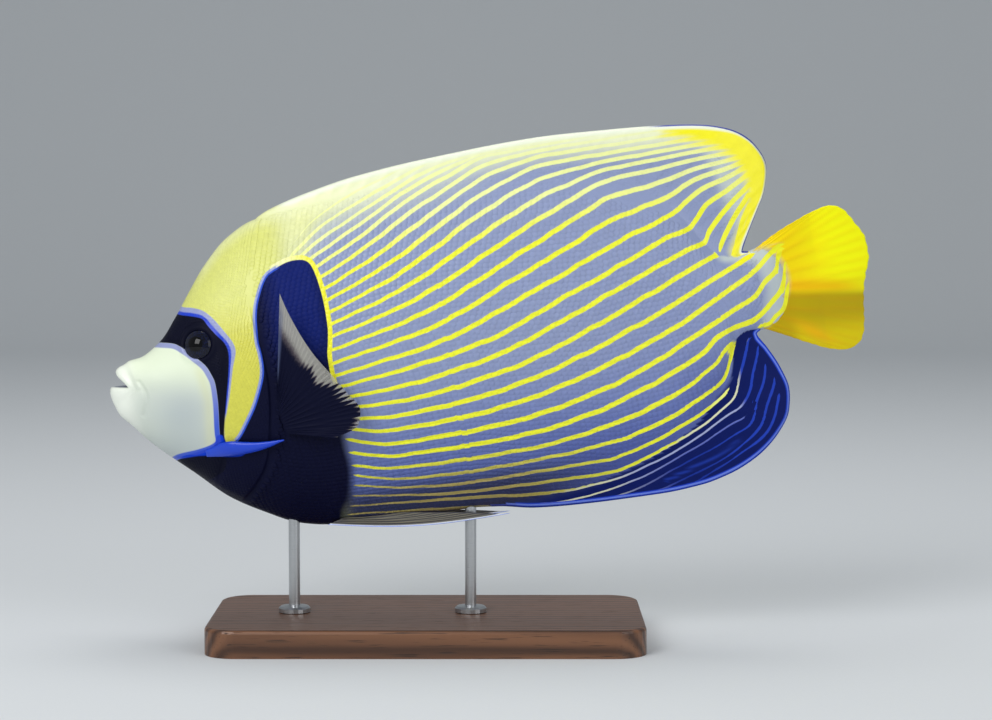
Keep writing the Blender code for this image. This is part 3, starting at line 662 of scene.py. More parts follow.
@dataclass
class Markings:
    """Fields on the skin that place every stripe, line and patch.

    A field is one number or colour for each place, which the skin's material turns into crisp
    edges. Distances are in millimetres.
    """

    pose: Pose
    view: Viewpoint
    form: BodyForm
    colours: SkinColours = SkinColours()
    wobble: Rows = ((0.020, 23.0), (0.013, 13.0), (0.007, 8.1))  # size and wavelength

    def fields(self, points: Array, up: Array, down: Array) -> dict[str, Array]:
        """Works out all the fields.

        Args:
            points: Places (s, y, h) on the left side, in millimetres.
            up: How far out each lies on the dorsal fin, from 0 to 1.
            down: The same for the anal fin.

        Returns:
            Arrays by the attribute's name.
        """
        s, h = self.view.side_view(self.pose, points)
        number = self.number(s, h, up, down)
        slope = np.hypot(
            self.number(s + 0.5, h, up, down) - self.number(s - 0.5, h, up, down),
            self.number(s, h + 0.5, up, down) - self.number(s, h - 0.5, up, down),
        )
        head = s < 125
        out = {"stripe": number, "half": self.half_width(s, h, number, up, down) * slope}
        areas = {"muzzle": MUZZLE, "mask": MASK, "mask_rim": MASK_RIM, "band": SPINE_BAND}
        for name, area in areas.items():
            out[name] = np.full(s.shape, -60.0)
            out[name][head] = area.inside(s[head], h[head])
        dark = np.full(s.shape, -60.0)
        dark[head] = DARK.inside(s[head], h[head])
        softness = 0.4 + 5.5 * rise(-12, -24, h) * rise(80, 92, s)
        out["dark"] = dark / softness
        out["patch_edge"] = dark
        for name, line in {"front_on": FRONT_LINE, "rim_on": RIM_LINE}.items():
            out[name] = np.zeros(s.shape)
            out[name][head] = rise(1.0, 0.3, from_path(s[head], h[head], line) - np.abs(dark[head]))
        out["rim_pale"] = rise(96, 82, s)
        out["navy"] = rise(66, 82, s) * rise(-12, 12, h) * rise(104, 92, s)
        out["low"] = rise(6, -28, h)
        out["velvet"] = self.lobe_dark(s, h, down)
        top, bottom = self.margins(s, h, up, down)
        out["edge_top"], out["edge_bottom"] = top, bottom
        out["edge_wide"] = 0.68 + 0.32 * rise(290, 276, s) + 0.25 * rise(270, 230, s)
        out["ground"] = self.ground(s, h, up, down)
        out["stripe_tint"] = self.tint(s, h, number, down)
        return out

    def lobe_dark(self, s: Array, h: Array, down: Array) -> Array:
        """Share of the anal fin's dark blue, which sets in softly in front and sharply behind."""
        soft = 1.0 + 3.2 * rise(268, 250, s)
        return rise(soft, -soft, h - Curve(ANAL_DARK_FROM)(s)) * (down > 0)

    def number(self, s: Array, h: Array, up: Array, down: Array) -> Array:
        """The stripe number of each place, with a slight wobble of its own on each stripe.

        Args:
            s: Places along the fish.
            h: Heights.
            up: How far out on the dorsal fin each is.
            down: The same for the anal fin.

        Returns:
            Numbers that are whole on the middle of a stripe.
        """
        number = Stripes(FLANK_LINES).count(s, h)
        for on, lines in ((up > 0, DORSAL_LINES), (down > 0, ANAL_LINES)):
            number[on] = Stripes(lines).count(s[on], h[on])
        whole = np.round(number)
        for k, (size, length) in enumerate(self.wobble):
            turn = 2 * math.pi * s / length + whole * (2.3 + 1.7 * k)
            number = number + size * np.sin(turn) * rise(270, 240, s)
        return number

    def half_width(self, s: Array, h: Array, number: Array, up: Array, down: Array) -> Array:
        """Half the width of the stripe in millimetres, zero where none shows.

        Args:
            s: Places along the fish.
            h: Heights.
            number: The stripe numbers.
            up: How far out on the dorsal fin each is.
            down: The same for the anal fin.

        Returns:
            The half widths.
        """
        half = 0.75 + 0.35 * rise(100, 150, s)
        half -= 0.42 * rise(-42, -66, h)
        half -= 0.45 * rise(0, 8, h - Curve(CREAM_FROM)(s))
        half -= 0.2 * rise(50, 62, h)
        thin = 0.16 * rise(27.6, 28.6, number) + 0.16 * rise(29.6, 32.2, number) + 0.1 * rise(266, 276, s)
        half = np.where(down > 0, half - thin * rise(-40, -52, h + 0.3 * (240 - s)), half)
        half = half - 0.3 * rise(26.4, 27, number) * rise(238, 262, s) * rise(-5, -20, h)
        lobe = 0.45 - 0.1 * rise(30.5, 31.5, number) + 0.2 * rise(272, 277, s)
        half = np.where((down > 0) & (number > 29.5), lobe, half)
        start = Curve(STRIPE_START)(h)
        half = half * rise(-1.2, 1.4 + 3 * rise(44, 52, h), s - start)
        low, stem = down > 0, (down <= 0) & (up <= 0)
        over = h - Curve(LOBE_TOPS)(np.round(number))
        stem_front = stem * rise(272, 273.5, s)
        gone = np.maximum.reduce([
            low * rise(272.5, 274, s) * (number < 29.5),
            low * rise(267.2, 268.7, s) * (np.abs(number - 29) < 0.62),
            low * rise(272.6, 274.1, s) * (np.abs(number - 32) < 0.62),
            low * rise(-0.4, 0.8, over) * (number > 29.5) * (s > 265),
            (up > 0) * rise(270.8, 271.4, s) * rise(273.2, 272.6, s) * (np.abs(number - 22) < 0.5),
            stem_front * rise(286, 284.5, s) * rise(26.4, 26.6, number),
            stem_front * rise(27.4, 27.6, number),
            stem * rise(274, 278, s) * rise(22.62, 22.45, number),
            stem * rise(286, 289, s) * rise(23.62, 23.45, number),
            rise(299, 302, s),
        ])
        return np.maximum(half, 0) * (1 - np.clip(gone, 0, 1))

    def margins(self, s: Array, h: Array, up: Array, down: Array) -> tuple[Array, Array]:
        """Distance from the margins of the dorsal and of the anal fin.

        Args:
            s: Places along the fish.
            h: Heights.
            up: How far out on the dorsal fin each is.
            down: The same for the anal fin.

        Returns:
            Both, the dorsal's first.
        """
        out = []
        for on, rows in ((up > 0, DORSAL), (down > 0, ANAL)):
            distance = np.full(s.shape, 60.0)
            distance[on] = from_path(s[on], h[on], tuple(row[1:] for row in rows))
            out.append(distance)
        return out[0] + 4 * rise(92, 76, s), out[1]

    def ground(self, s: Array, h: Array, up: Array, down: Array) -> Array:
        """Colour between the stripes, and of the nape, muzzle and fins.

        Args:
            s: Places along the fish.
            h: Heights.
            up: How far out on the dorsal fin each is.
            down: The same for the anal fin.

        Returns:
            Colours in rows.
        """
        c = self.colours
        back = self.form.back(s)
        white = rise(4 + 5 * rise(280, 290, s), 0.8, back - h) * rise(269, 275, s) * (up <= 0)
        cream = h - Curve(CREAM_FROM)(s)
        nape = rise(132, 96, s) * rise(-9, 3, cream + 6 * rise(100, 88, s)) * rise(84, 96, s)
        muzzle = rise(-2.2, -0.9, MUZZLE.inside(s, h))
        snout = muzzle * rise(60, 52, s)
        return painted(
            len(s), c.ground,
            (c.ground_low, 0.9 * rise(-6, -58, h)),
            (c.ground_low, 0.2 * rise(190, 250, s) * rise(30, -15, h)),
            (c.ground_deep, rise(-34, -72, h) * (0.5 + 0.4 * rise(150, 230, s))),
            (c.ground_deep, 0.55 * rise(235, 266, s) * rise(-14, -42, h)),
            (c.belly, 0.85 * rise(-56, -69, h) * rise(225, 165, s)),
            (c.stem_white, 0.85 * white),
            (c.stem_white, 0.7 * rise(288.5, 294.5, s + 0.3 * np.abs(h)) * (down <= 0)),
            (c.stem_white, 0.35 * (up > 0) * rise(274, 281, s) * rise(60, 45, h)),
            (c.cream, 0.45 * rise(-17, -2, cream) * rise(190, 130, s)),
            (c.cream, rise(-7, 7, cream) * rise(74, 94, s)),
            (c.nape, 0.5 * nape),
            (c.nape, rise(99, 76, s)),
            (c.cream, 0.6 * rise(9, 0, back + 2.5 - h) * rise(40, 52, s) * rise(150, 110, s)),
            (c.bar, rise(34, 8, h) * rise(80, 70, s)),
            (c.gold, rise(-3.5, 2.5, GOLD.inside(s, h)) * (up > 0)),
            (c.anal_dark, self.lobe_dark(s, h, down)),
            (c.stripe, rise(1.1, 0.7, from_path(s, h, HAIRPIN))),
            (c.stripe_blue, 0.6 * rise(0.85, 0.25, from_path(s, h, SHORT_LINE))),
            (c.muzzle_middle, snout),
            # Painted light: the muzzle's top is paler where light falls from above, and the lips' front is
            # paler still
            (c.muzzle_top_lit, snout * rise(-10, 8, h + 0.25 * (s - 20))),
            (c.lip_painted_light, muzzle * 0.8 * rise(13, 4, s)),
            (c.muzzle_low, muzzle * 0.6 * hump(np.hypot((s - 29) / 1.1, h + 17), 13.0)),
            (c.muzzle_low, muzzle * 0.5 * rise(-18, -34, h)),
            (c.muzzle_green, muzzle * 0.35 * hump(s - 41 + 0.12 * np.abs(h + 12), 2.6) * rise(8, 0, h)),
        )

    def tint(self, s: Array, h: Array, number: Array, down: Array) -> Array:
        """Colour of the stripes.

        Args:
            s: Places along the fish.
            h: Heights.
            number: The stripe numbers.
            down: The same for the anal fin.

        Returns:
            Colours in rows.
        """
        c = self.colours
        low = down > 0
        cream = np.maximum(rise(-58, -68, h), rise(29.3, 29.7, number)) * rise(278, 274, s)
        blue = rise(272, 275, s) * np.maximum(rise(-22, -30, h), rise(29.3, 29.6, number))
        blue = np.maximum(blue, rise(31.3, 32.4, number) * rise(215, 245, s))
        return painted(
            len(s), c.stripe,
            (c.stripe_pale, rise(36, 58, h + 8 * rise(120, 95, s))),
            (c.cream, 0.6 * rise(-2, 7, h - Curve(CREAM_FROM)(s))),
            (c.stripe_ochre, rise(-48, -66, h) * rise(235, 160, s)),
            (c.gold, rise(-6, 2, GOLD.inside(s, h))),
            (c.stripe_pale, 0.6 * low * rise(28.5, 28.8, number) * rise(235, 250, s)),
            (c.stripe_cream, low * cream),
            (c.stripe_grey, low * rise(30.4, 30.7, number) * rise(205, 225, s)),
            (c.stripe_blue, low * blue),
            (c.anal_dark, 0.5 * low * rise(31.5, 33, number) * rise(276, 250, s)),
        )


def painted(count: int, base: str, *coats: tuple[str, Array]) -> Array:
    """Lays colours over one another, one for each place.

    Args:
        count: The number of places.
        base: The first colour.
        coats: Further colours, each with its cover from 0 to 1.

    Returns:
        Colours in rows.
    """
    colour = np.tile(np.array(linear(base)), (count, 1))
    for code, cover in coats:
        cover = np.clip(np.asarray(cover, float), 0, 1)[:, None]
        colour = colour * (1 - cover) + np.array(linear(code)) * cover
    return colour


class Step(Enum):
    """What a node of a material does: Blender's name, inputs in order, output and settings."""

    PLUS = ("ShaderNodeMath", (0, 1), 0, {"operation": "ADD"})
    MINUS = ("ShaderNodeMath", (0, 1), 0, {"operation": "SUBTRACT"})
    TIMES = ("ShaderNodeMath", (0, 1), 0, {"operation": "MULTIPLY"})
    OVER = ("ShaderNodeMath", (0, 1), 0, {"operation": "DIVIDE"})
    LARGER = ("ShaderNodeMath", (0, 1), 0, {"operation": "MAXIMUM"})
    SIZE = ("ShaderNodeMath", (0,), 0, {"operation": "ABSOLUTE"})
    WHOLE = ("ShaderNodeMath", (0,), 0, {"operation": "ROUND"})
    WAVE = ("ShaderNodeMath", (0,), 0, {"operation": "SINE"})
    CLIMB = (
        "ShaderNodeMapRange", ("Value", "From Min", "From Max"), "Result",
        {"interpolation_type": "SMOOTHSTEP"},
    )
    MIX = ("ShaderNodeMix", (0, 6, 7), 2, {"data_type": "RGBA"})
    SHADE = ("ShaderNodeHueSaturation", ("Value", "Color"), 0, {})
    PLACE = ("ShaderNodeTexCoord", (), "Object", {})
    STRETCH = ("ShaderNodeMapping", ("Vector", "Scale"), 0, {})
    Y_OF = ("ShaderNodeSeparateXYZ", (0,), "Y", {})
    Z_OF = ("ShaderNodeSeparateXYZ", (0,), "Z", {})
    NOISE = ("ShaderNodeTexNoise", ("Vector", "Scale", "Detail", "Roughness"), "Fac", {})
    BUMP = ("ShaderNodeBump", ("Strength", "Distance", "Height"), 0, {})
    DENT = ("ShaderNodeBump", ("Strength", "Distance", "Height"), 0, {"invert": True})


def per_mm(size: float) -> float:
    """The noise scale whose features are about size millimetres across."""
    return 1 / (size * MM)


class Recipe:
    """A material in the making: its nodes and its Principled shader."""

    def __init__(self, name: str) -> None:
        """Starts a material with a bare shader.

        Args:
            name: Its name.
        """
        self.material = bpy.data.materials.new(name)
        self.material.use_nodes = True
        self.tree = self.material.node_tree
        self.place = self.add(Step.PLACE)

    def plug(self, node: bpy.types.Node, inputs: dict[str | int, object]) -> None:
        """Sets or links a node's inputs.

        Args:
            node: The node.
            inputs: For each socket a number, vector, hex colour, name of a field of the mesh, or output.
        """
        for key, value in inputs.items():
            socket = node.inputs[key]
            if isinstance(value, str) and value.startswith("#"):
                value = linear(value)
            elif isinstance(value, str):
                reader = self.tree.nodes.new("ShaderNodeAttribute")
                reader.attribute_name = value
                value = reader.outputs["Color" if socket.type == "RGBA" else "Fac"]
            if isinstance(value, Socket):
                self.tree.links.new(value, socket)
            else:
                socket.default_value = value

    def add(self, step: Step, *values: object) -> Socket:
        """Adds a node with its settings and links.

        Args:
            step: What the node does.
            values: Its inputs in order, as plug takes them.

        Returns:
            The node's output.
        """
        kind, inputs, output, settings = step.value
        node = self.tree.nodes.new(kind)
        for name, value in settings.items():
            setattr(node, name, value)
        self.plug(node, dict(zip(inputs, values)))
        return node.outputs[output]

    def coats(self, colour: Socket | str, *coats: tuple[Socket, Socket | str]) -> Socket:
        """Lays colours over one another.

        Args:
            colour: The first colour.
            coats: Covers and their colours.

        Returns:
            The colour that shows.
        """
        for cover, over in coats:
            colour = self.add(Step.MIX, cover, colour, over)
        return colour

    def stripes(self, stray: Socket | float, soft: float) -> Socket:
        """Draws the stripes on the ground colour.

        Args:
            stray: How far the stripes' edges stray, as a share of the distance between two stripes.
            soft: How soft the edges are, in the same share.

        Returns:
            The colour with the stripes.
        """
        add = self.add
        off = add(Step.SIZE, add(Step.MINUS, "stripe", add(Step.WHOLE, "stripe")))
        inset = add(Step.MINUS, add(Step.PLUS, "half", stray), off)
        line = add(Step.TIMES, add(Step.CLIMB, inset, -soft, soft), add(Step.CLIMB, "half", 0.01, 0.05))
        return add(Step.MIX, line, "ground", "stripe_tint")

    def finish(self, inputs: dict[str, object]) -> Material:
        """Sets the shader's inputs and gives the material."""
        self.plug(self.tree.nodes["Principled BSDF"], inputs)
        return self.material


@dataclass(frozen=True)
class WetSkin:
    """Living fish skin: pigment under thin clear scales and a film of slime.

    The pigment gives flat, saturated colour with crisp edges, and the slime a broad wet gloss.
    """

    name: str = "fish_skin_wet"
    black: str = "#090b1f"
    breast: str = "#0a0d2a"
    navy: str = "#10206a"
    vivid_blue: str = "#0b3ccc"
    lilac: str = "#9aa2d0"
    line_core: str = "#3458d0"
    line_edge: str = "#98a4d6"
    rim: str = "#faf52c"
    rim_pale: str = "#f6f6b4"
    edge_white: str = "#f4f9e0"
    edge_blue: str = "#2b3aa8"
    anal_edge: str = "#2142c4"
    anal_core: str = "#6c84e4"
    # painted shade: darkens each scale towards its rear edge
    scale_tip_shade: str = "#20264a"
    grain: float = 0.7  # millimetres across the skin's finest folds
    scales: bool = False

    def make(self) -> Material:
        """Builds the material.

        Returns:
            The material.
        """
        recipe = Recipe(self.name)
        add, place = recipe.add, recipe.place
        ragged = add(Step.MINUS, add(Step.NOISE, place, per_mm(1.6), 1.0), 0.5)
        colour = recipe.stripes(add(Step.TIMES, ragged, 0.05), 0.025)
        # The pigment of each scale differs a little from its neighbours'
        patchy = add(Step.PLUS, add(Step.TIMES, add(Step.NOISE, place, per_mm(2.2)), 0.10), 0.95)
        colour = self.fin_margins(recipe, add(Step.SHADE, patchy, colour))
        colour = self.head(recipe, colour)
        if self.scales:
            # Painted shade darkens each scale towards its rear edge; the pigment of each scale also differs
            # at random
            tip_shade = add(Step.TIMES, add(Step.CLIMB, "along", 0.55, 1.0), 0.03)
            shade = add(Step.PLUS, add(Step.TIMES, "chance", 0.07), 0.965)
            colour = add(Step.SHADE, shade, add(Step.MIX, tip_shade, colour, self.scale_tip_shade))
        # Black pigment lies in velvety skin, which shines less than the rest
        face = add(Step.TIMES, add(Step.CLIMB, "mask", -0.3, 0.3), add(Step.CLIMB, "muzzle", 0.3, -0.3))
        velvet = add(Step.LARGER, add(Step.LARGER, add(Step.CLIMB, "dark", -0.5, 0.5), face), "velvet")
        dull = add(Step.MINUS, 1.0, velvet)
        wet = add(Step.PLUS, add(Step.TIMES, add(Step.NOISE, place, per_mm(9.0)), 0.14), 0.33)
        folds = add(Step.NOISE, place, per_mm(self.grain), 3.0, 0.6)
        return recipe.finish({
            "Base Color": colour,
            "Roughness": add(Step.PLUS, wet, add(Step.TIMES, velvet, 0.12)),
            "Specular IOR Level": add(Step.PLUS, add(Step.TIMES, dull, 0.27), 0.08),
            "Coat Weight": add(Step.TIMES, dull, 0.2),
            "Coat Roughness": 0.22,
            "Normal": add(Step.BUMP, 0.35, 0.12 * MM, folds),
        })

    def fin_margins(self, recipe: Recipe, colour: Socket) -> Socket:
        """Lays on the dorsal fin's white and dark-blue piping and the anal fin's bright blue piping.

        Args:
            recipe: The material in the making.
            colour: Its colour so far.

        Returns:
            The colour with the margins.
        """
        add = recipe.add
        wide, slim = add(Step.TIMES, "edge_wide", 2.4), add(Step.TIMES, "edge_wide", 0.9)
        piping = add(Step.CLIMB, "edge_top", 0.75, 0.45)
        core = add(Step.CLIMB, "edge_bottom", 1.5, 1.15)
        return recipe.coats(
            colour,
            (add(Step.CLIMB, "edge_top", wide, slim), self.edge_white),
            (add(Step.TIMES, piping, add(Step.CLIMB, "edge_wide", 1.15, 1.05)), self.edge_blue),
            (add(Step.CLIMB, "edge_bottom", 2.1, 1.5), self.anal_edge),
            (add(Step.TIMES, core, add(Step.CLIMB, "edge_bottom", 0.5, 0.8)), self.anal_core),
        )

    def head(self, recipe: Recipe, colour: Socket) -> Socket:
        """Lays on the dark breast and gill patch, their lines, the eye mask and the muzzle.

        Args:
            recipe: The material in the making.
            colour: Its colour so far.

        Returns:
            The colour with the head's markings.
        """
        add = recipe.add
        rim = add(Step.CLIMB, "patch_edge", -2.1, -1.7)
        rim = add(Step.TIMES, rim, add(Step.CLIMB, "patch_edge", 0.3, -0.1))
        line = add(Step.CLIMB, add(Step.SIZE, "patch_edge"), 1.0, 0.75)
        line_core = add(Step.CLIMB, "patch_edge", -0.15, 0.4)
        strip = add(Step.MINUS, "mask_rim", "mask")
        across = add(Step.OVER, "mask_rim", add(Step.LARGER, strip, 0.2))
        rim_on = add(Step.TIMES, add(Step.CLIMB, "mask_rim", -0.2, 0.2), add(Step.CLIMB, strip, 0.3, 0.7))
        muzzle = add(Step.CLIMB, "muzzle", -0.2, 0.2)
        return recipe.coats(
            colour,
            (add(Step.CLIMB, "dark", -0.5, 0.5), add(Step.MIX, "navy", self.breast, self.navy)),
            (add(Step.TIMES, rim, "rim_on"), add(Step.MIX, "rim_pale", self.rim, self.rim_pale)),
            (add(Step.TIMES, line, "front_on"), add(Step.MIX, line_core, self.line_edge, self.line_core)),
            (rim_on, add(Step.MIX, add(Step.CLIMB, across, 0.7, 0.5), self.vivid_blue, self.lilac)),
            (add(Step.CLIMB, "mask", -0.25, 0.25), self.black),
            (muzzle, "ground"),
            (add(Step.TIMES, muzzle, add(Step.CLIMB, "muzzle", 2.5, 1.9)),
             add(Step.MIX, "low", self.lilac, self.line_core)),
            (add(Step.CLIMB, "band", -0.3, 0.5), add(Step.MIX, "low", self.lilac, self.vivid_blue)),
        )


@dataclass
class Grid:
    """The left half of the skin: columns from the mouth to the tail, rows from the top edge to the bottom.

    Points are (s, half thickness, h). The tags go with them.
    """

    points: Array  # columns, rows, 3
    u: Array
    up: Array
    down: Array

    def on(self, form: BodyForm, side: Side) -> Array:
        """Points (s, y, h) of one side, with the tail's sweep.

        Args:
            form: The body.
            side: The side.

        Returns:
            The points.
        """
        out = self.points.copy()
        out[..., 1] = form.shift(out[..., 0]) + side.value * out[..., 1]
        return out


def surface_normals(points: Array) -> Array:
    """Unit vectors out of the left side of a grid of points (s, y, h).

    Args:
        points: The grid.

    Returns:
        A vector for each point.
    """
    along = np.gradient(points, axis=0)
    across = np.gradient(points, axis=1)
    normal = np.cross(across, along)
    normal /= np.maximum(np.linalg.norm(normal, axis=-1, keepdims=True), 1e-9)
    return normal


def make_mesh(name: str, points: Array, faces: Faces, fields: dict[str, Array] | None = None) -> Piece:
    """Makes a smooth-shaded mesh object, faces out, from points in metres.

    Args:
        name: The piece's name.
        points: Places in the frame.
        faces: Corners of each face.
        fields: Numbers or colours for each point, by attribute name.

    Returns:
        The object, linked to the scene.
    """
    mesh = bpy.data.meshes.new(name)
    mesh.from_pydata(points.tolist(), [], faces)
    for key, values in (fields or {}).items():
        if values.ndim == 2:
            attribute = mesh.attributes.new(key, "FLOAT_COLOR", "POINT")
            attribute.data.foreach_set("color", values.astype(np.float32).ravel())
        else:
            attribute = mesh.attributes.new(key, "FLOAT", "POINT")
            attribute.data.foreach_set("value", values.astype(np.float32))
    mesh.update()
    obj = bpy.data.objects.new(name, mesh)
    bpy.context.scene.collection.objects.link(obj)
    if enclosed(mesh) < 0:
        mesh.flip_normals()
    mesh.shade_smooth()
    return obj


def enclosed(mesh: bpy.types.Mesh) -> float:
    """The volume a closed mesh encloses, negative where its faces point in.

    Args:
        mesh: The mesh.

    Returns:
        The volume.
    """
    mesh.calc_loop_triangles()
    corners = np.zeros(len(mesh.loop_triangles) * 3, np.int32)
    mesh.loop_triangles.foreach_get("vertices", corners)
    places = np.zeros(len(mesh.vertices) * 3, np.float32)
    mesh.vertices.foreach_get("co", places)
    a, b, c = places.reshape(-1, 3)[corners.reshape(-1, 3)].transpose(1, 0, 2)
    return float(np.einsum("ij,ij->i", a, np.cross(b, c)).sum() / 6)


def finish_piece(obj: Piece, material: Material, slot: str, nodes: tuple[str, ...] = ()) -> Piece:
    """Dresses a piece, fixes it to the model and logs it.

    Args:
        obj: The piece.
        material: Its material.
        slot: The record's material slot.
        nodes: The solids it stands for.

    Returns:
        The piece.
    """
    obj.data.materials.clear()
    obj.data.materials.append(material)
    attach(obj, "root")
    if nodes:
        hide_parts(*nodes)
    LOG.info("%s: %d faces, slot %s", obj.name, len(obj.data.polygons), slot)
    return obj


@dataclass
class Skin:
    """One closed skin over head, trunk, tail stem, dorsal fin and anal fin."""

    form: BodyForm
    markings: Markings
    rows: int = 126
    head_step: float = 0.8
    dorsal_rays: int = 34
    anal_rays: int = 22
    steps_per_ray: int = 6
    fin_edge: float = 0.5
    root_blend: float = 4.0  # how softly the flank runs out into a fin
    ray_ridge: float = 0.16
    gill_step: float = 0.95
    cheek_step: float = 0.4
    orbit_radius: float = 7.2
    mouth_rings: tuple[tuple[tuple[float, ...], ...], ...] = (
        ((13.0, 0.6), (13.5, -0.9, 3.5), (12.5, -2.2)),
        ((8.0, 3.2), (10.5, -0.9, 5.5), (6.0, -1.6)),
        ((4.6, 4.4), (8.8, -0.8, 6.6), (1.4, 0.4)),
        ((3.2, 4.9), (8.2, -0.8, 7.6), (-0.2, 0.2)),
        ((2.8, 6.4), (8.4, -0.9, 8.5), (-1.0, -2.0)),
        ((4.2, 8.1), (9.4, -1.0, 9.2), (-0.7, -5.0)),
        ((6.8, 9.0), (11.2, -1.6, 9.3), (0.0, -7.6)),
        ((9.5, 10.3), (13.2, -2.0, 10.9), (1.7, -12.2)),
        ((14.5, 11.0), (17.2, -2.5, 12.8), (6.0, -17.2)),
        ((19.5, 13.4), (22.0, -3.0, 14.4), (12.0, -24.7)),
        ((25.5, 17.9), (27.5, -3.4, 15.9), (18.5, -31.4)),
    )
    snout_lens: float = 0.54
    mouth_columns: Array | None = None  # where the first rings lie among the columns
    grid: Grid | None = None
    fields: dict[str, Array] = field(default_factory=dict)

    def ring(self, top: tuple[float, ...], side: tuple[float, ...], bottom: tuple[float, ...]) -> Array:
        """One side's points round the mouth or snout, with their u.

        Args:
            top: The uppermost point's s and h.
            side: The widest point's s, h and half width.
            bottom: The lowest point's s and h.

        Returns:
            Rows of s, half width, h, u and two tags.
        """
        u = np.cos(np.linspace(0, math.pi, 97))
        end = np.where(u[:, None] >= 0, np.array(top), np.array(bottom))
        s = side[0] + (end[:, 0] - side[0]) * np.abs(u) ** 1.3
        h = side[1] + (end[:, 1] - side[1]) * np.abs(u)
        edge = float(self.form.crest(-1))
        y = edge + (side[2] - edge) * (1 - u * u) ** self.snout_lens
        return np.stack((s, y, h, u, 0 * u, 0 * u), axis=1)

    def body_line(self, five: Five) -> Array:
        """One side's points from the back to the belly along a line round the body.

        Args:
            five: The line.

        Returns:
            Rows like those of a ring.
        """
        u = np.cos(np.linspace(0, math.pi, 161))
        s = around(five)(u)
        h, y = self.form.section(s, u)
        return np.stack((s, y, h, u, 0 * u, 0 * u), axis=1)

    def column(self, root: float) -> Array:
        """One side's points from the dorsal margin to the anal margin, for a root s on the back.

        Args:
            root: That s.

        Returns:
            Rows like those of a ring.
        """
        if root < TRUNK_STRAIGHT:
            part = (root - GILL_EDGE[0]) / (TRUNK_STRAIGHT - GILL_EDGE[0])
            five = between(GILL_EDGE, (TRUNK_STRAIGHT,) * 5, part)
        elif root < STEM_STRAIGHT:
            five = (root,) * 5
        else:
            part = (root - STEM_STRAIGHT) / (TAIL_EDGE[0] - STEM_STRAIGHT)
            five = between((STEM_STRAIGHT,) * 5, TAIL_EDGE, part)
        line = self.body_line(five)
        pieces = [line]
        if DORSAL[0][0] < root < DORSAL[-1][0]:
            pieces.insert(0, self.fin_line(line[0], root, DORSAL, 4)[::-1][:-1])
        shaded_root = float(line[-1, 0])
        if ANAL[0][0] < shaded_root < ANAL[-1][0]:
            pieces.append(self.fin_line(line[-1], shaded_root, ANAL, 5)[1:])
        return np.concatenate(pieces)

    def fin_line(self, start: Array, root: float, rows: Rows, tag: int) -> Array:
        """Points from a fin's root to its margin, tagged with how far out they lie.

        Args:
            start: The body's point at the root.
            root: Its s.
            rows: The fin's margin.
            tag: The tag's place in a row.

        Returns:
            Rows like those of a ring.
        """
        tip_s, tip_h = Curve(rows)(root)
        part = np.linspace(0, 1, 41)
        line = np.zeros((len(part), 6))
        line[:, 0] = start[0] + (tip_s - start[0]) * part
        line[:, 2] = start[2] + (tip_h - start[2]) * part
        line[:, 1] = start[1] + (self.fin_edge - start[1]) * part ** 0.7
        line[:, 3] = start[3]
        line[:, tag] = np.maximum(part, 1e-3)
        return line

    def softened(self, column: Array, step: float) -> Array:
        """Rounds the crease between the flank and the fins out of a column's thickness.

        Args:
            column: The column's rows.
            step: The distance between two.

        Returns:
            The new half widths.
        """
        thick = column[:, 1]
        sigma = self.root_blend / step
        reach = int(3 * sigma) + 1
        kernel = np.exp(-0.5 * (np.arange(-reach, reach + 1) / sigma) ** 2)
        kernel /= kernel.sum()
        soft = np.convolve(np.pad(thick, reach, mode="edge"), kernel, "valid")
        out = thick.copy()
        for tag in (4, 5):
            on = np.flatnonzero(column[:, tag] > 0)
            if len(on) < 2:
                continue
            root = on[-1] if tag == 4 else on[0]
            length = len(on) * step
            near = np.exp(-((np.arange(len(thick)) - root) * step / (2.2 * self.root_blend)) ** 2)
            out += (soft - thick) * near * float(rise(1, 12, length))
        return np.minimum(out, np.maximum(thick + 1.2, self.fin_edge))

    def head_columns(self) -> list[Array]:
        """Columns from the end of the mouth to the gill opening.

        Returns:
            The columns.
        """
        rings = [self.ring(*ring) for ring in self.mouth_rings]
        rings += [self.body_line(CHEEK_FRONT), self.body_line(CHEEK_MIDDLE)]
        even = [evenly(ring, self.rows)[0] for ring in rings]
        gaps = [float(np.linalg.norm(b[:, :3] - a[:, :3], axis=1).mean()) for a, b in zip(even, even[1:])]
        knots = np.concatenate(([0], np.cumsum(gaps)))
        through = Curve(tuple((k, *ring.ravel()) for k, ring in zip(knots, even)))
        stop = knots[-2]
        places = np.linspace(0, stop, int(stop / self.head_step) + 1)
        self.mouth_columns = np.interp(knots[:4], places, np.arange(len(places)))
        columns = [through(x).reshape(even[0].shape) for x in places]
        for a, b, fine in ((CHEEK_FRONT, CHEEK_MIDDLE, ()), (CHEEK_MIDDLE, CHEEK_EDGE, (0.97,)),
                           (CHEEK_EDGE, GILL_EDGE, (0.03, 0.93, 0.97, 0.985))):
            count = int(abs(b[2] - a[2]) / self.head_step)
            parts = sorted([k / count for k in range(1, count + 1)] + list(fine))
            columns += [evenly(self.body_line(between(a, b, part)), self.rows)[0] for part in parts]
        return columns

    def trunk_roots(self) -> list[float]:
        """Roots on the back of the columns from the gill opening to the end of the tail stem.

        Returns:
            The s of each.
        """
        rays = knotted(DORSAL[1:-1], 1)
        count = (self.dorsal_rays - 1) * self.steps_per_ray
        roots = [74.25, 74.6, 75.2, 76, 77, 78] + [float(rays(k / count)[0]) for k in range(count + 1)]
        return roots + [float(r) for r in np.linspace(roots[-1], TAIL_EDGE[0], 13)[1:]]

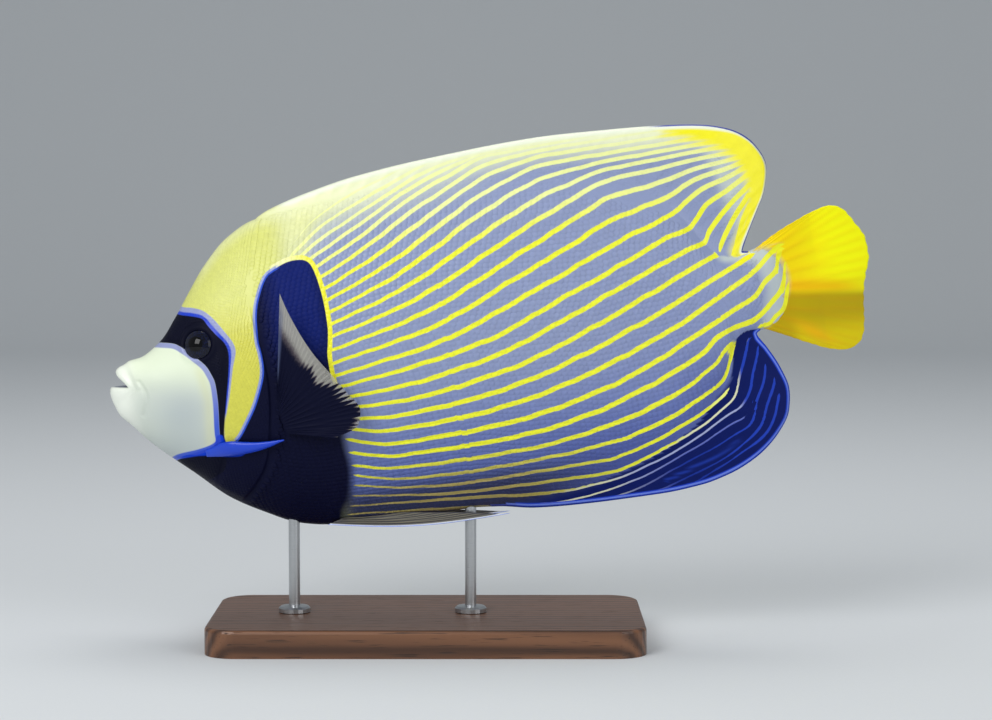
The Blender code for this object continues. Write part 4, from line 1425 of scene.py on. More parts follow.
    def shape(self) -> None:
        """Works out the grid of the left half."""
        columns = self.head_columns()
        for root in self.trunk_roots():
            column, step = evenly(self.column(root), self.rows)
            column[:, 1] = self.softened(column, step)
            columns.append(column)
        last = columns[-1]
        for move, keep in ((0.9, 0.93), (1.8, 0.8), (2.6, 0.62)):
            lip = last.copy()
            lip[:, 0] += move
            lip[:, 1] *= keep
            lip[:, 2] *= 1 - 0.012 * move
            columns.append(lip)
        table = np.stack(columns)
        points = table[..., :3].copy()
        for edge, inner in ((0, 2), (-1, -3)):
            out = points[:, edge, [0, 2]] - points[:, inner, [0, 2]]
            out /= np.maximum(np.linalg.norm(out, axis=1, keepdims=True), 1e-6)
            points[:, edge, 0] += out[:, 0] * 0.6 * points[:, edge, 1]
            points[:, edge, 2] += out[:, 1] * 0.6 * points[:, edge, 1]
            points[:, edge, 1] = 0
        self.grid = Grid(points, table[..., 3], table[..., 4], table[..., 5])
        self.raise_relief()
        left = self.grid.on(self.form, Side.LEFT)
        flat = left.reshape(-1, 3)
        found = self.markings.fields(flat, self.grid.up.ravel(), self.grid.down.ravel())
        self.fields = {key: v.reshape(left.shape[:2] + v.shape[1:]) for key, v in found.items()}
        # Painted shade: the inside of the mouth is painted dark grey
        ring = np.interp(np.arange(len(left)), self.mouth_columns, np.arange(4.0))
        inside = rise(2.6, 2.0, ring)[:, None, None]
        mouth = np.array(linear(self.markings.colours.mouth))
        self.fields["ground"] = self.fields["ground"] * (1 - inside) + mouth * inside

    def raise_relief(self) -> None:
        """Raises the gill cover, cheek, orbit, lips' folds and fin rays in the surface."""
        grid = self.grid
        s, h, u = grid.points[..., 0], grid.points[..., 2], grid.u
        body = (grid.up <= 0) & (grid.down <= 0)
        gill = s - around(GILL_EDGE)(u)
        cheek = s - around(CHEEK_EDGE)(u)
        inner = body & (s > 5)
        window = rise(0.5, 0.36, u) * rise(-0.99, -0.9, u)
        lift = self.gill_step * rise(0.3, -0.15, gill) * rise(-22, -3, gill) * window
        lift -= 0.35 * hump(gill - 0.9, 0.8) * window
        cheek_window = rise(0.3, 0.1, u) * rise(-0.98, -0.8, u)
        lift += self.cheek_step * rise(0.3, -0.2, cheek) * rise(-9, -2, cheek) * cheek_window
        away = np.hypot(s - EYE_AT[0], h - EYE_AT[1])
        lift += 0.75 * hump(away - self.orbit_radius, 1.0) - 1.6 * rise(6.4, 4.6, away)
        fold = from_path(s, h, MAXILLA_FOLD)
        lip = 0.55 * hump(np.hypot(s - 11.5, (h + 5) * 0.62), 3.6)
        lift += np.where(s < 24, lip - 0.6 * hump(fold, 0.75), 0)
        lift *= inner
        rays = knotted(DORSAL[1:-1], 1)(np.linspace(0, 1, self.dorsal_rays))[:, 0]
        low_rays = knotted(ANAL[1:-1], 1)(np.linspace(0, 1, self.anal_rays))[:, 0]
        roots = self.column_roots()
        for out, places in ((grid.up, rays), (grid.down, low_rays)):
            number = np.interp(roots, places, np.arange(len(places)))[:, None]
            ridge = hump(number - np.round(number), 0.17) * rise(0.02, 0.25, out) * rise(1.0, 0.9, out)
            lift = lift + self.ray_ridge * ridge
        normal = surface_normals(grid.on(self.form, Side.LEFT))
        flat = normal * lift[..., None]
        flat[:, 0], flat[:, -1] = 0, 0
        grid.points[..., 0] += flat[..., 0]
        grid.points[..., 1] -= flat[..., 1]
        grid.points[..., 2] += flat[..., 2]
        grid.points[:, 1:-1, 1] = np.maximum(grid.points[:, 1:-1, 1], 0.2)

    def column_roots(self) -> Array:
        """The root s of each column, or a place before the fins for the head's.

        Returns:
            The s of each.
        """
        roots = self.trunk_roots()
        total = self.grid.points.shape[0]
        return np.array([0.0] * (total - len(roots) - 3) + roots + [300.0] * 3)

    def build(self) -> Piece:
        """Makes the closed mesh with its markings.

        Returns:
            The skin.
        """
        self.shape()
        columns, rows = self.grid.points.shape[:2]
        last = rows - 1
        loop = 2 * last
        left = self.grid.on(self.form, Side.LEFT)
        right = self.grid.on(self.form, Side.RIGHT)[:, last - 1:0:-1]
        points = np.concatenate((left, right), axis=1).reshape(-1, 3)
        fields = {
            key: np.concatenate((v, v[:, last - 1:0:-1]), axis=1).reshape((-1,) + v.shape[2:])
            for key, v in self.fields.items()
        }
        return make_mesh("skin", self.markings.pose.world(points), tube_faces(columns, loop, 0), fields)


def tube_faces(columns: int, ring: int, apart: int) -> Faces:
    """Faces of a flat tube made of rings of points, closed at both ends by strips across it.

    Args:
        columns: The number of rings.
        ring: The points in each.
        apart: 0 where a ring's first point lies on its fold, or 1 where its first and last do.

    Returns:
        The corners of each face.
    """
    i, j = np.meshgrid(np.arange(columns - 1), np.arange(ring), indexing="ij")
    a, b = i * ring + j, i * ring + (j + 1) % ring
    faces = np.stack((a, b, b + ring, a + ring), axis=-1).reshape(-1, 4).tolist()
    for start in (0, (columns - 1) * ring):
        for k in range(ring // 2 - apart):
            across = [(ring - apart - k - n) % ring for n in (1, 0)]
            corners = list(dict.fromkeys([start + n for n in (k, k + 1, *across)]))
            faces.append(corners if start else corners[::-1])
    return faces


def sheet(
    name: str, pose: Pose, near: Array, far: Array, fields: dict[str, Array] | None = None,
) -> Piece:
    """Makes a thin closed piece from two like grids of points, its near face and its far one.

    Args:
        name: The piece's name.
        pose: The pose of the fish.
        near: Points (s, y, h) of one face, as rows of a grid.
        far: The same for the other face.
        fields: Fields of the near face, taken by both.

    Returns:
        The object.
    """
    columns, rows = near.shape[:2]
    points = np.concatenate((near, far[:, ::-1]), axis=1).reshape(-1, 3)
    both = {key: np.concatenate((v, v[:, ::-1]), axis=1) for key, v in (fields or {}).items()}
    flat = {key: v.reshape((-1,) + v.shape[2:]) for key, v in both.items()}
    return make_mesh(name, pose.world(points), tube_faces(columns, 2 * rows, 1), flat)


def fan(rays: int, steps: int, columns: int) -> tuple[Array, Array, Array]:
    """Spaces a fin's points.

    Args:
        rays: The number of rays.
        steps: The steps from ray to ray.
        columns: The points from root to margin.

    Returns:
        Places across the fin and parts of the way out, both from 0 to 1, and the ray number at each point.
    """
    place = np.linspace(0, 1, (rays - 1) * steps + 1)
    part = np.linspace(0, 1, columns)[:, None]
    return place, part, (place * (rays - 1))[None, :] + 0 * part


def ray_ridges(number: Array, part: Array, width: float = 0.17) -> Array:
    """Height of a fin's rays, from 0 to 1, which branch in two towards the margin.

    Args:
        number: Place across the fin, whole on each ray.
        part: Place from the root, 0, to the margin, 1.
        width: Half width of a ray as a share of the distance between two.

    Returns:
        The height at each place.
    """
    off = np.abs(number - np.round(number))
    branch = rise(0.35, 0.8, part)
    single = hump(off, width) * (1 - branch)
    double = hump(off - 0.25, 0.6 * width) * branch
    return (single + 0.8 * double) * rise(1.0, 0.93, part) * (0.4 + 0.6 * rise(0, 0.15, part))


@dataclass(frozen=True)
class TailMembrane:
    """Yellow tail fin: thin skin over fine jointed rays, which light shines through a little."""

    name: str = "tail_membrane_satin"
    ray: str = "#e59200"
    joint: float = 1.1  # millimetres between two joints of a ray

    def make(self) -> Material:
        """Builds the material.

        Returns:
            The material.
        """
        recipe = Recipe(self.name)
        add = recipe.add
        colour = add(Step.MIX, add(Step.TIMES, "ridge", 0.16), recipe.stripes(0.0, 0.02), self.ray)
        joints = add(Step.WAVE, add(Step.TIMES, "along", 2 * math.pi / self.joint))
        bumps = add(Step.TIMES, add(Step.TIMES, joints, "ridge"), 0.4)
        height = add(Step.PLUS, bumps, add(Step.NOISE, recipe.place, per_mm(0.6)))
        return recipe.finish({
            "Base Color": colour, "Roughness": 0.5, "Specular IOR Level": 0.14,
            "Normal": add(Step.BUMP, 0.3, 0.1 * MM, height),
        })


@dataclass(frozen=True)
class TailColours:
    """Colours of the tail fin: its own yellows, with painted shade on the lower half, which turns away from
    the light, and a painted orange glow and highlight.
    """

    margin: str = "#ffff00"
    upper: str = "#ffdc00"
    # painted light: orange glow along the fold
    painted_glow: str = "#ffbe00"
    # painted shade: the lower half's yellow in shade, darkest by the root and lighter by the margin
    low: str = "#c8ae00"
    shaded_margin: str = "#f4de00"
    shaded_root: str = "#c4a500"
    # painted highlight: orange spot by the lower rays
    spot: str = "#ffc400"
    root: str = "#b7bcb4"


@dataclass
class TailFin:
    """The tail fin, which grows out of the end of the stem, folded a little along its middle."""

    form: BodyForm
    markings: Markings
    colours: TailColours = TailColours()
    rays: int = 17
    steps_per_ray: int = 10
    columns: int = 64
    edge: float = 0.3
    ridge: float = 0.24
    sink: float = 4.0  # how far its root lies inside the stem
    margin: Rows = (  # lens coordinate of the root, then s and h of the margin
        (1.0, 293, 19.8), (0.99, 301.3, 23.6), (0.97, 310.3, 26.7), (0.93, 319.5, 29.4),
        (0.86, 327.4, 30.8), (0.74, 333, 29.2), (0.6, 338.9, 21.5), (0.4, 343, 12.2), (0.2, 342.7, 5),
        (0.0, 339.7, -2), (-0.2, 337.7, -9.6), (-0.4, 337, -17.5), (-0.6, 336.4, -25.9),
        (-0.74, 333.5, -32.6), (-0.86, 327.3, -34.8), (-0.93, 319.4, -33.2), (-0.97, 310.2, -29),
        (-0.99, 301.2, -24.3), (-1.0, 293, -19.8),
    )

    def build(self) -> Piece:
        """Makes the fin.

        Returns:
            The fin.
        """
        place, part, number = fan(self.rays, self.steps_per_ray, self.columns)
        u, tip_s, tip_h = knotted(self.margin, 1)(place).T
        root_s = around(TAIL_EDGE)(u) - self.sink
        root_h, root_y = self.form.section(root_s, u)
        s = root_s + (tip_s - root_s) * part
        # The trailing edge is a little frayed between the rays
        s = s - 0.5 * rise(0.9, 1, part) * (1 - hump(np.abs(number - np.round(number)) - 0.22, 0.16))
        h = root_h + (tip_h - root_h) * part
        thick = self.edge + (root_y - 0.15 - self.edge) * (1 - part) ** 2.5
        ridge = ray_ridges(number, part, 0.2)
        thick = thick + self.ridge * ridge
        thick[-1] *= 0.5
        thick[:, [0, -1]] *= 0.5
        shift = self.form.tail_shift(s, h)
        near, far = (np.stack((s, shift + side.value * thick, h), axis=-1) for side in Side)
        flat = near.reshape(-1, 3)
        none = np.zeros(len(flat))
        found = self.markings.fields(flat, none, none)
        found = {key: found[key] for key in ("stripe", "half", "stripe_tint")}
        found["ground"] = self.paint(flat[:, 0], flat[:, 2])
        found["ridge"] = ridge.ravel()
        found["along"] = flat[:, 0]
        fields = {key: v.reshape(s.shape + v.shape[1:]) for key, v in found.items()}
        return sheet("tail_fin", self.markings.pose, near, far, fields)

    def paint(self, s: Array, h: Array) -> Array:
        """Yellow, with painted shade on the lower half, a painted orange glow along the fold and a painted
        orange highlight by the lower rays.

        Args:
            s: Places along the fish.
            h: Heights.

        Returns:
            Colours in rows.
        """
        c = self.colours
        fold = h + 3.4 + 0.17 * (s - 301)  # height over the line where the fin folds in the photo
        # Painted shade on the lower half, below the fold
        low = rise(1.8, -2.2, fold)
        # Painted highlight: an orange spot by the lower rays, where the membrane doubles over
        spot = np.hypot((s - 311.5) / 8.5, (h + 23.8 + 0.62 * (s - 311.5)) / 3.0)
        root = rise(304, 299, s + 0.03 * (h - 3) ** 2 * (h < 18)) * rise(19.5, 15, np.abs(h))
        return painted(
            len(s), c.margin,
            (c.upper, 0.85 * rise(330, 302, s)),
            # Painted glow: orange light along the fold, just above the painted shade
            (c.painted_glow, 0.75 * hump(fold - 2.4, 3.0) * rise(298, 303, s) * rise(345, 322, s)),
            (c.low, low),
            (c.shaded_margin, 0.8 * low * rise(-14, -27, h + 0.1 * (s - 310))),
            (c.shaded_root, 0.7 * low * rise(306, 299, s)),
            (c.spot, 0.9 * low * hump(spot, 1.0)),
            (c.root, root),
        )


@dataclass
class PairedFin:
    """A fin of one side of the body."""

    form: BodyForm
    pose: Pose
    side: Side

    def blade(self, s: Array, h: Array, inner: Array, outer: Array, edge: float) -> tuple[Array, Array]:
        """Closes a blade along its margins.

        Args:
            s: Places along the fish.
            h: Heights.
            inner: The inner face's y, on the left side.
            outer: The outer face's y.
            edge: Half the thickness left at the margins.

        Returns:
            The points (s, y, h) of both faces.
        """
        middle = (inner + outer) / 2
        for margin in (np.s_[-1, :], np.s_[:, 0], np.s_[:, -1]):
            inner[margin], outer[margin] = middle[margin] + edge, middle[margin] - edge
        return tuple(np.stack((s, -self.side.value * y, h), axis=-1) for y in (inner, outer))


@dataclass(frozen=True)
class ClearFin:
    """Pectoral fin: black rays in a clear membrane, so that its margin shows what lies behind it."""

    name: str = "pectoral_membrane_clear"
    ray: str = "#090c26"
    between: str = "#5b545a"
    clear: str = "#b4b2aa"
    leading: str = "#5f6a90"

    def make(self) -> Material:
        """Builds the material.

        Returns:
            The material.
        """
        recipe = Recipe(self.name)
        add, place = recipe.add, recipe.place
        clear = add(Step.PLUS, "clear", add(Step.TIMES, add(Step.NOISE, place, per_mm(1.2)), 0.2))
        clear = add(Step.CLIMB, clear, 0.25, 1.1)
        colour = recipe.coats(
            self.ray, (add(Step.CLIMB, clear, 0.0, 0.5), self.between),
            (add(Step.CLIMB, clear, 0.35, 1.0), self.clear), ("leading", self.leading),
        )
        return recipe.finish({
            "Base Color": colour, "Roughness": 0.6, "Specular IOR Level": 0.08,
            "Alpha": add(Step.MINUS, 1.0, add(Step.TIMES, clear, "thin")),
            "Normal": add(Step.BUMP, 0.3, 0.1 * MM, add(Step.NOISE, place, per_mm(0.8))),
        })


@dataclass
class PectoralFin(PairedFin):
    """The fan-shaped fin behind one gill cover."""

    rays: int = 18
    steps_per_ray: int = 16
    columns: int = 90
    root: float = 1.1
    edge: float = 0.25
    ridge: float = 0.3
    lift: float = 0.35
    out: dict[Side, float] = field(default_factory=lambda: {Side.LEFT: 10.0, Side.RIGHT: 12.5})
    clear_from: Rows = (
        (0, 0.64), (0.1, 0.7), (0.3, 0.75), (0.5, 0.78), (0.65, 0.86), (0.8, 0.95), (1, 0.99),
    )
    lines: Rows = (  # s and h of the root, then of the margin
        (73.6, -12.6, 82.5, 31.0), (73.5, -14.6, 84.6, 22.9), (73.5, -16.8, 88.0, 13.2),
        (73.6, -19.1, 92.8, 3.0), (73.8, -21.5, 98.5, -6.2), (74.1, -24.0, 103.8, -14.5),
        (74.5, -26.2, 108.6, -23.2), (74.9, -28.0, 106.6, -30.0), (75.3, -29.4, 96.3, -33.8),
    )

    def build(self) -> Piece:
        """Makes the fin.

        Returns:
            The fin.
        """
        place, part, number = fan(self.rays, self.steps_per_ray, self.columns)
        root_s, root_h, tip_s, tip_h = knotted(self.lines, 2)(place).T
        s = root_s + (tip_s - root_s) * part
        h = root_h + (tip_h - root_h) * part
        ridge = ray_ridges(number, part)
        full = 2 * (self.edge + (self.root - self.edge) * (1 - part) ** 1.5)
        # The margin waves a little from ray to ray, as a fin that sculls does
        wave = 0.5 * np.sin(2 * math.pi * number / 5.5 + 1.0) * part ** 3
        off = self.form.flank(root_s, root_h) + self.lift + self.out[self.side] * part ** 0.85 + wave
        inner = -(off - self.ridge * 0.5 * ridge * rise(0, 0.3, part))
        outer = -(off + full + self.ridge * ridge)
        near, far = self.blade(s, h, inner, outer, 0.12)
        limit = Curve(self.clear_from)(place)[None, :]
        twig = np.abs(2 * number - np.round(2 * number))
        twin = np.round(2 * number)
        uneven = 0.05 * np.sin(7.3 * twin) + 0.05 * np.sin(3.1 * twin + 1)
        long = 0.3 + 0.16 * np.sin(5.7 * twin + 2)
        jagged = ((0.5 - twig) * long + uneven) * rise(0.3, 0.5, place) - 0.04
        blur = 0.08 + 0.12 * rise(0.45, 0.2, place)
        fields = {
            "clear": rise(-blur, 1.4 * blur, part - limit - jagged),
            "thin": (0.42 + 0.3 * rise(0.3, 0.7, place)) * (1 - 0.45 * ridge),
            "leading": 0.55 * rise(1.6, 0.4, number) * rise(0.12, 0.3, part) * rise(1.0, 0.8, part),
        }
        return sheet(f"pectoral_fin_{self.side.word}_skin", self.pose, near, far, fields)


@dataclass(frozen=True)
class PelvicMembrane:
    """Folded pelvic fin: brown-grey skin with a pale, blue-edged leading ray."""

    name: str = "pelvic_membrane_satin"
    brown: str = "#8b8670"
    dark: str = "#36353f"
    edge: str = "#6f8cf0"
    white: str = "#e4e9f2"

    def make(self) -> Material:
        """Builds the material.

        Returns:
            The material.
        """
        recipe = Recipe(self.name)
        add = recipe.add
        colour = recipe.coats(
            self.dark, ("ridge", self.brown), (add(Step.CLIMB, "leading", 0.2, 0.45), self.white),
            (add(Step.CLIMB, "leading", 0.8, 0.95), self.edge),
        )
        return recipe.finish({
            "Base Color": colour, "Roughness": 0.42,
            "Normal": add(Step.BUMP, 0.3, 0.1 * MM, add(Step.NOISE, recipe.place, per_mm(0.8))),
        })


@dataclass
class PelvicFin(PairedFin):
    """The narrow fin folded back along one side of the belly's keel."""

    rays: int = 6
    steps_per_ray: int = 14
    columns: int = 70
    root: float = 0.9
    edge: float = 0.25
    ridge: float = 0.35
    bow: float = 3.0
    clear: float = 4.1
    lines: Rows = (  # s and h of the root, then of the margin
        (85.0, -73.6, 165.0, -80.8), (86.5, -73.2, 160.0, -80.2), (88.0, -72.8, 152.0, -78.6),
        (89.5, -72.4, 142.0, -76.8), (91.0, -72.0, 130.0, -75.0), (92.5, -71.6, 118.0, -73.0),
    )

    def build(self) -> Piece:
        """Makes the fin.

        Returns:
            The fin.
        """
        place, part, number = fan(self.rays, self.steps_per_ray, self.columns)
        root_s, root_h, tip_s, tip_h = knotted(self.lines, 0)(place).T
        s = root_s + (tip_s - root_s) * part
        h = root_h + (tip_h - root_h) * part - self.bow * np.sin(math.pi * part) * (1 - place * 0.8)
        skin = self.form.flank(s, np.maximum(h, self.form.belly(s)))
        ridge = ray_ridges(number, part, 0.22)
        off = np.maximum(skin + 0.35 + 0.5 * np.minimum(part * 4, 1), self.clear)
        full = 2 * (self.edge + (self.root - self.edge) * (1 - part) ** 1.5)
        inner, outer = -off, -(off + full + self.ridge * ridge)
        near, far = self.blade(s, h, inner, outer, 0.15)
        fields = {"ridge": ridge, "leading": rise(1.5, 0.0, number)}
        return sheet(f"pelvic_fin_{self.side.word}_skin", self.pose, near, far, fields)


@dataclass(frozen=True)
class BoneSpine:
    """Smooth bone under thin bright-blue skin, which gives the spine a hard clean highlight."""

    name: str = "spine_bone_blue_skin"
    blue: str = "#0d40cc"
    root: str = "#1446d0"

    def make(self) -> Material:
        """Builds the material.

        Returns:
            The material.
        """
        recipe = Recipe(self.name)
        add = recipe.add
        return recipe.finish({
            "Base Color": add(Step.MIX, "along", self.root, self.blue), "Roughness": 0.34,
            "Normal": add(Step.BUMP, 0.25, 0.08 * MM, add(Step.NOISE, recipe.place, per_mm(1.2))),
        })


@dataclass
class CheekSpine:
    """The long backward spine at the lower corner of one cheek."""

    form: BodyForm
    pose: Pose
    side: Side
    around: int = 14
    steps: int = 48
    rows: Rows = (  # s, h, half height, thickness and distance off the skin
        (38, -33.8, 1.5, 0.6, 0.35), (42, -33.4, 2.3, 1.1, 0.6), (46, -32.8, 3.2, 1.6, 1.5),
        (50, -32.8, 3.3, 2.0, 1.95), (55, -33.2, 2.8, 2.0, 2.0), (61, -33.4, 2.1, 1.7, 2.1),
        (67, -33.0, 1.3, 1.3, 2.3), (71, -32.4, 0.7, 0.9, 2.5), (73.5, -32.1, 0.3, 0.5, 2.7),
    )

    def build(self) -> Piece:
        """Makes the spine, round outside and flat against the cheek.

        Returns:
            The spine.
        """
        at = Curve(self.rows)
        s = np.linspace(self.rows[0][0], self.rows[-1][0], self.steps)[:, None]
        h, half, thick, off = (v[:, None] for v in at(s[:, 0]).T)
        turn = np.linspace(0, math.pi, self.around)[None, :]
        height = h + half * np.cos(turn)
        skin = self.form.flank(s + 0 * height, height) + off
        near = np.stack((s + 0 * height, skin, height), axis=-1)
        far = near.copy()
        far[..., 1] += thick * np.sin(turn) ** 0.8 + 0.02
        for grid in (near, far):
            grid[..., 1] *= self.side.value
        fields = {"along": rise(40, 47, s + 0 * height)}
        return sheet(f"cheek_spine_{self.side.word}_bone", self.pose, near, far, fields)


@dataclass(frozen=True)
class GlassEye:
    """Taxidermist's glass eye: a black pupil and blue-black iris seen through clear glass."""

    name: str = "eye_glass"
    pupil: str = "#020204"
    iris: str = "#060812"
    ring: str = "#0f1534"

    def make(self) -> Material:
        """Builds the material.

        Returns:
            The material.
        """
        recipe = Recipe(self.name)
        add = recipe.add
        fleck = add(Step.CLIMB, add(Step.NOISE, recipe.place, per_mm(0.7)), 0.35, 0.7)
        iris = add(Step.MIX, fleck, self.iris, self.ring)
        colour = recipe.coats(
            self.pupil, (add(Step.CLIMB, "off", 0.44, 0.5), iris),
            (add(Step.CLIMB, "off", 0.84, 0.92), self.pupil),
        )
        return recipe.finish({
            "Base Color": colour, "Roughness": 0.08, "Specular IOR Level": 0.22, "Coat Weight": 0.1,
            "Coat Roughness": 0.02,
        })


@dataclass
class Eye:
    """One eyeball, flattened as a fish's eye is."""

    form: BodyForm
    pose: Pose
    side: Side
    radius: float = 7.2
    depth: float = 4.6
    sunk: float = 2.2
    bulge: float = 0.5  # of the cornea over the pupil

    def build(self) -> Piece:
        """Makes the eyeball round its own axis.

        Returns:
            The eyeball.
        """
        out = self.form.outward(*EYE_AT)
        at = Vector((EYE_AT[0], -float(self.form.flank(*EYE_AT)), EYE_AT[1])) - out * self.sunk
        if self.side is Side.RIGHT:
            out.y, at.y = -out.y, -at.y
        turn = out.to_track_quat("Z", "Y").to_matrix()
        rings, steps = 28, 48
        points, off = [], []
        for k in range(rings + 1):
            angle = math.pi * k / rings
            reach = math.sin(angle)
            cornea = self.bulge * max(0.0, 1 - (reach / 0.6) ** 2) * (k < rings / 2)
            height = self.depth * math.cos(angle) + cornea
            for j in range(1 if k in (0, rings) else steps):
                way = 2 * math.pi * j / steps
                out_x, out_y = self.radius * reach * math.cos(way), self.radius * reach * math.sin(way)
                spot = Vector((out_x, out_y, height))
                points.append(at + turn @ spot)
                off.append(reach if k <= rings / 2 else 1.0)
        faces = [(0, 1 + j, 1 + (j + 1) % steps) for j in range(steps)]
        for k in range(rings - 2):
            a = 1 + k * steps
            for j in range(steps):
                b, c = a + j, a + (j + 1) % steps
                faces.append((b, b + steps, c + steps, c))
        last, a = len(points) - 1, 1 + (rings - 2) * steps
        faces += [(a + j, last, a + (j + 1) % steps) for j in range(steps)]
        world = self.pose.world(np.array([tuple(p) for p in points]))
        return make_mesh(f"eye_{self.side.word}_glass", world, faces, {"off": np.array(off)})


@dataclass
class ScaleCoat:
    """Small thin scales over part of the skin, each with its root sunk in it."""

    name: str
    side: Side
    skin: Skin
    length: float
    width: float
    pitch: float  # from scale to scale along a row
    row_pitch: float
    chosen: Callable[[dict[str, Array]], Array]
    lift: float = 0.2
    seed: int = 7

    def template(self) -> tuple[Array, Faces, Array]:
        """One scale: a fan with a sunk rim, a raised inner ring and a crown.

        Returns:
            Points as shares (along, across, up), faces, and how far back each point lies.
        """
        count = 8
        turn = np.arange(count) * 2 * math.pi / count
        along, across = np.cos(turn), np.sin(turn)
        rim = np.stack((0.5 + 0.5 * along, 0.5 * across, -0.45 + 0.15 * along), axis=1)
        inner = np.stack((0.5 + 0.43 * along, 0.42 * across, 0.45 + 0.5 * along), axis=1)
        crown = np.array([[0.5, 0.0, 0.62]])
        points = np.concatenate((rim, inner, crown))
        faces: Faces = []
        for k in range(count):
            n = (k + 1) % count
            faces += [(k, n, n + count, k + count), (k + count, n + count, 2 * count)]
        faces.append(tuple(range(count))[::-1])
        return points, faces, points[:, 0]

    def roots(self) -> tuple[Array, Array]:
        """Places of the roots in the skin's grid, as column and row numbers.

        Returns:
            The column numbers and the row numbers.
        """
        points = self.skin.grid.on(self.skin.form, Side.LEFT)
        columns, rows = points.shape[:2]
        middle = columns * 2 // 3
        step = np.linalg.norm(np.diff(points[middle], axis=0), axis=1).mean()
        stride = self.row_pitch / step
        found_columns, found_rows = [], []
        for k, row in enumerate(np.arange(stride, rows - 1 - stride / 2, stride)):
            low = int(row)
            mix = row - low
            line = points[:, low] * (1 - mix) + points[:, min(low + 1, rows - 1)] * mix
            length = np.concatenate(([0], np.cumsum(np.linalg.norm(np.diff(line, axis=0), axis=1))))
            spots = np.arange((k % 2) * self.pitch / 2, length[-1], self.pitch)
            column = np.interp(spots, length, np.arange(columns))
            found_columns.append(column)
            found_rows.append(np.full(len(column), row))
        return np.concatenate(found_columns), np.concatenate(found_rows)

    def build(self) -> Piece:
        """Makes all the scales as one mesh that carries the skin's fields.

        Returns:
            The coat.
        """
        rng = np.random.default_rng(self.seed + (self.side is Side.RIGHT))
        column, row = self.roots()
        grid = self.skin.grid
        points = grid.on(self.skin.form, self.side)
        normals = surface_normals(points) * (1 if self.side is Side.LEFT else -1)
        sampler = Sampler(column, row)
        place = sampler(points)
        info = {
            "s": place[:, 0], "h": place[:, 2], "up": sampler(grid.up), "down": sampler(grid.down),
            "gill": place[:, 0] - around(GILL_EDGE)(sampler(grid.u)),
            "cheek": place[:, 0] - around(CHEEK_EDGE)(sampler(grid.u)), "u": sampler(grid.u),
            "gold": GOLD.inside(place[:, 0], place[:, 2]),
        }
        names = ("muzzle", "edge_top", "edge_bottom", "velvet")
        info |= {name: sampler(self.skin.fields[name]) for name in names}
        ahead = np.linalg.norm(sampler(np.gradient(points, axis=1)), axis=1)
        room = rise(0.25, 0.45, ahead)  # rows crowd on the tail stem, so some of its scales are left out
        keep = self.chosen(info) & (rng.random(len(column)) < np.maximum(room, 0.5 * (ahead > 0.2)))
        column, row, place = column[keep], row[keep], place[keep]
        sampler = Sampler(column, row)
        normal = sampler(normals)
        normal /= np.linalg.norm(normal, axis=1, keepdims=True)
        along = sampler(np.gradient(points, axis=0))
        along -= normal * np.einsum("ij,ij->i", along, normal)[:, None]
        along /= np.linalg.norm(along, axis=1, keepdims=True)
        across = np.cross(normal, along)
        count = len(column)
        # Scales grow small and flat towards the tail and the fins' roots
        stem = rise(245, 268, place[:, 0])
        stem = np.maximum(stem, rise(0.74, 0.95, np.abs(sampler(grid.u))) * rise(100, 130, place[:, 0]))
        size = (1 + 0.12 * (rng.random(count) - 0.5)) * (1 - 0.4 * stem)
        turn = 0.12 * (rng.random(count) - 0.5)
        tilt = self.lift * (1 + 0.25 * (rng.random(count) - 0.5)) * (1 - 0.6 * stem)
        template, faces, back = self.template()
        x = (template[:, 0] * self.length)[None, :] * size[:, None]
        y = (template[:, 1] * self.width)[None, :] * size[:, None]
        cos, sin = np.cos(turn)[:, None], np.sin(turn)[:, None]
        x, y = x * cos - y * sin, x * sin + y * cos
        z = template[:, 2][None, :] * tilt[:, None]
        moves = x[..., None] * along[:, None] + y[..., None] * across[:, None]
        spots = place[:, None] + moves + z[..., None] * normal[:, None]
        many = len(template)
        all_faces = [tuple(v + many * k for v in face) for k in range(count) for face in faces]
        # The skin's pattern runs on over each scale, so that lines cross it without a step
        by_column, by_row = (sampler(np.gradient(points, axis=axis)) for axis in (0, 1))
        by_column /= np.linalg.norm(by_column, axis=1, keepdims=True)
        by_row /= np.maximum(np.linalg.norm(by_row, axis=1, keepdims=True), 1e-6)
        lean = np.einsum("ki,ki->k", by_column, by_row)[:, None]
        on_column = np.einsum("kpi,ki->kp", moves, by_column)
        on_row = np.einsum("kpi,ki->kp", moves, by_row)
        far_column = ((on_column - lean * on_row) / (1 - lean ** 2)).ravel()
        far_row = ((on_row - lean * on_column) / (1 - lean ** 2)).ravel()
        columns, rows = np.repeat(column, many), np.repeat(row, many)
        under = Sampler(
            moved(points, columns, rows, far_column),
            moved(points.transpose(1, 0, 2), rows, columns, far_row),
        )
        fields = {key: under(values) for key, values in self.skin.fields.items()}
        fields["along"] = np.tile(back, count)
        fields["chance"] = np.repeat(rng.random(count), many)
        obj = make_mesh(self.name, self.skin.markings.pose.world(spots.reshape(-1, 3)), all_faces, fields)
        self.unwrap(obj, column, row, many, template)
        return obj

    def unwrap(self, obj: Piece, column: Array, row: Array, many: int, template: Array) -> None:
        """Lays each scale as a small patch at its root's place on the skin's own unwrap.

        Args:
            obj: The coat.
            column: The roots' column numbers.
            row: Their row numbers.
            many: The points of one scale.
            template: Those points.
        """
        columns, rows = self.skin.grid.points.shape[:2]
        patch = 0.003
        u = np.repeat(column / columns * 0.99, many) + np.tile(template[:, 0] * patch, len(column))
        v = np.repeat(row / rows * 0.99, many) + np.tile((template[:, 1] + 0.5) * patch, len(row))
        layer = obj.data.uv_layers.new(name="OFBake")
        loops = np.zeros(len(obj.data.loops), np.int32)
        obj.data.loops.foreach_get("vertex_index", loops)
        layer.data.foreach_set("uv", np.stack((u[loops], v[loops]), axis=1).astype(np.float32).ravel())


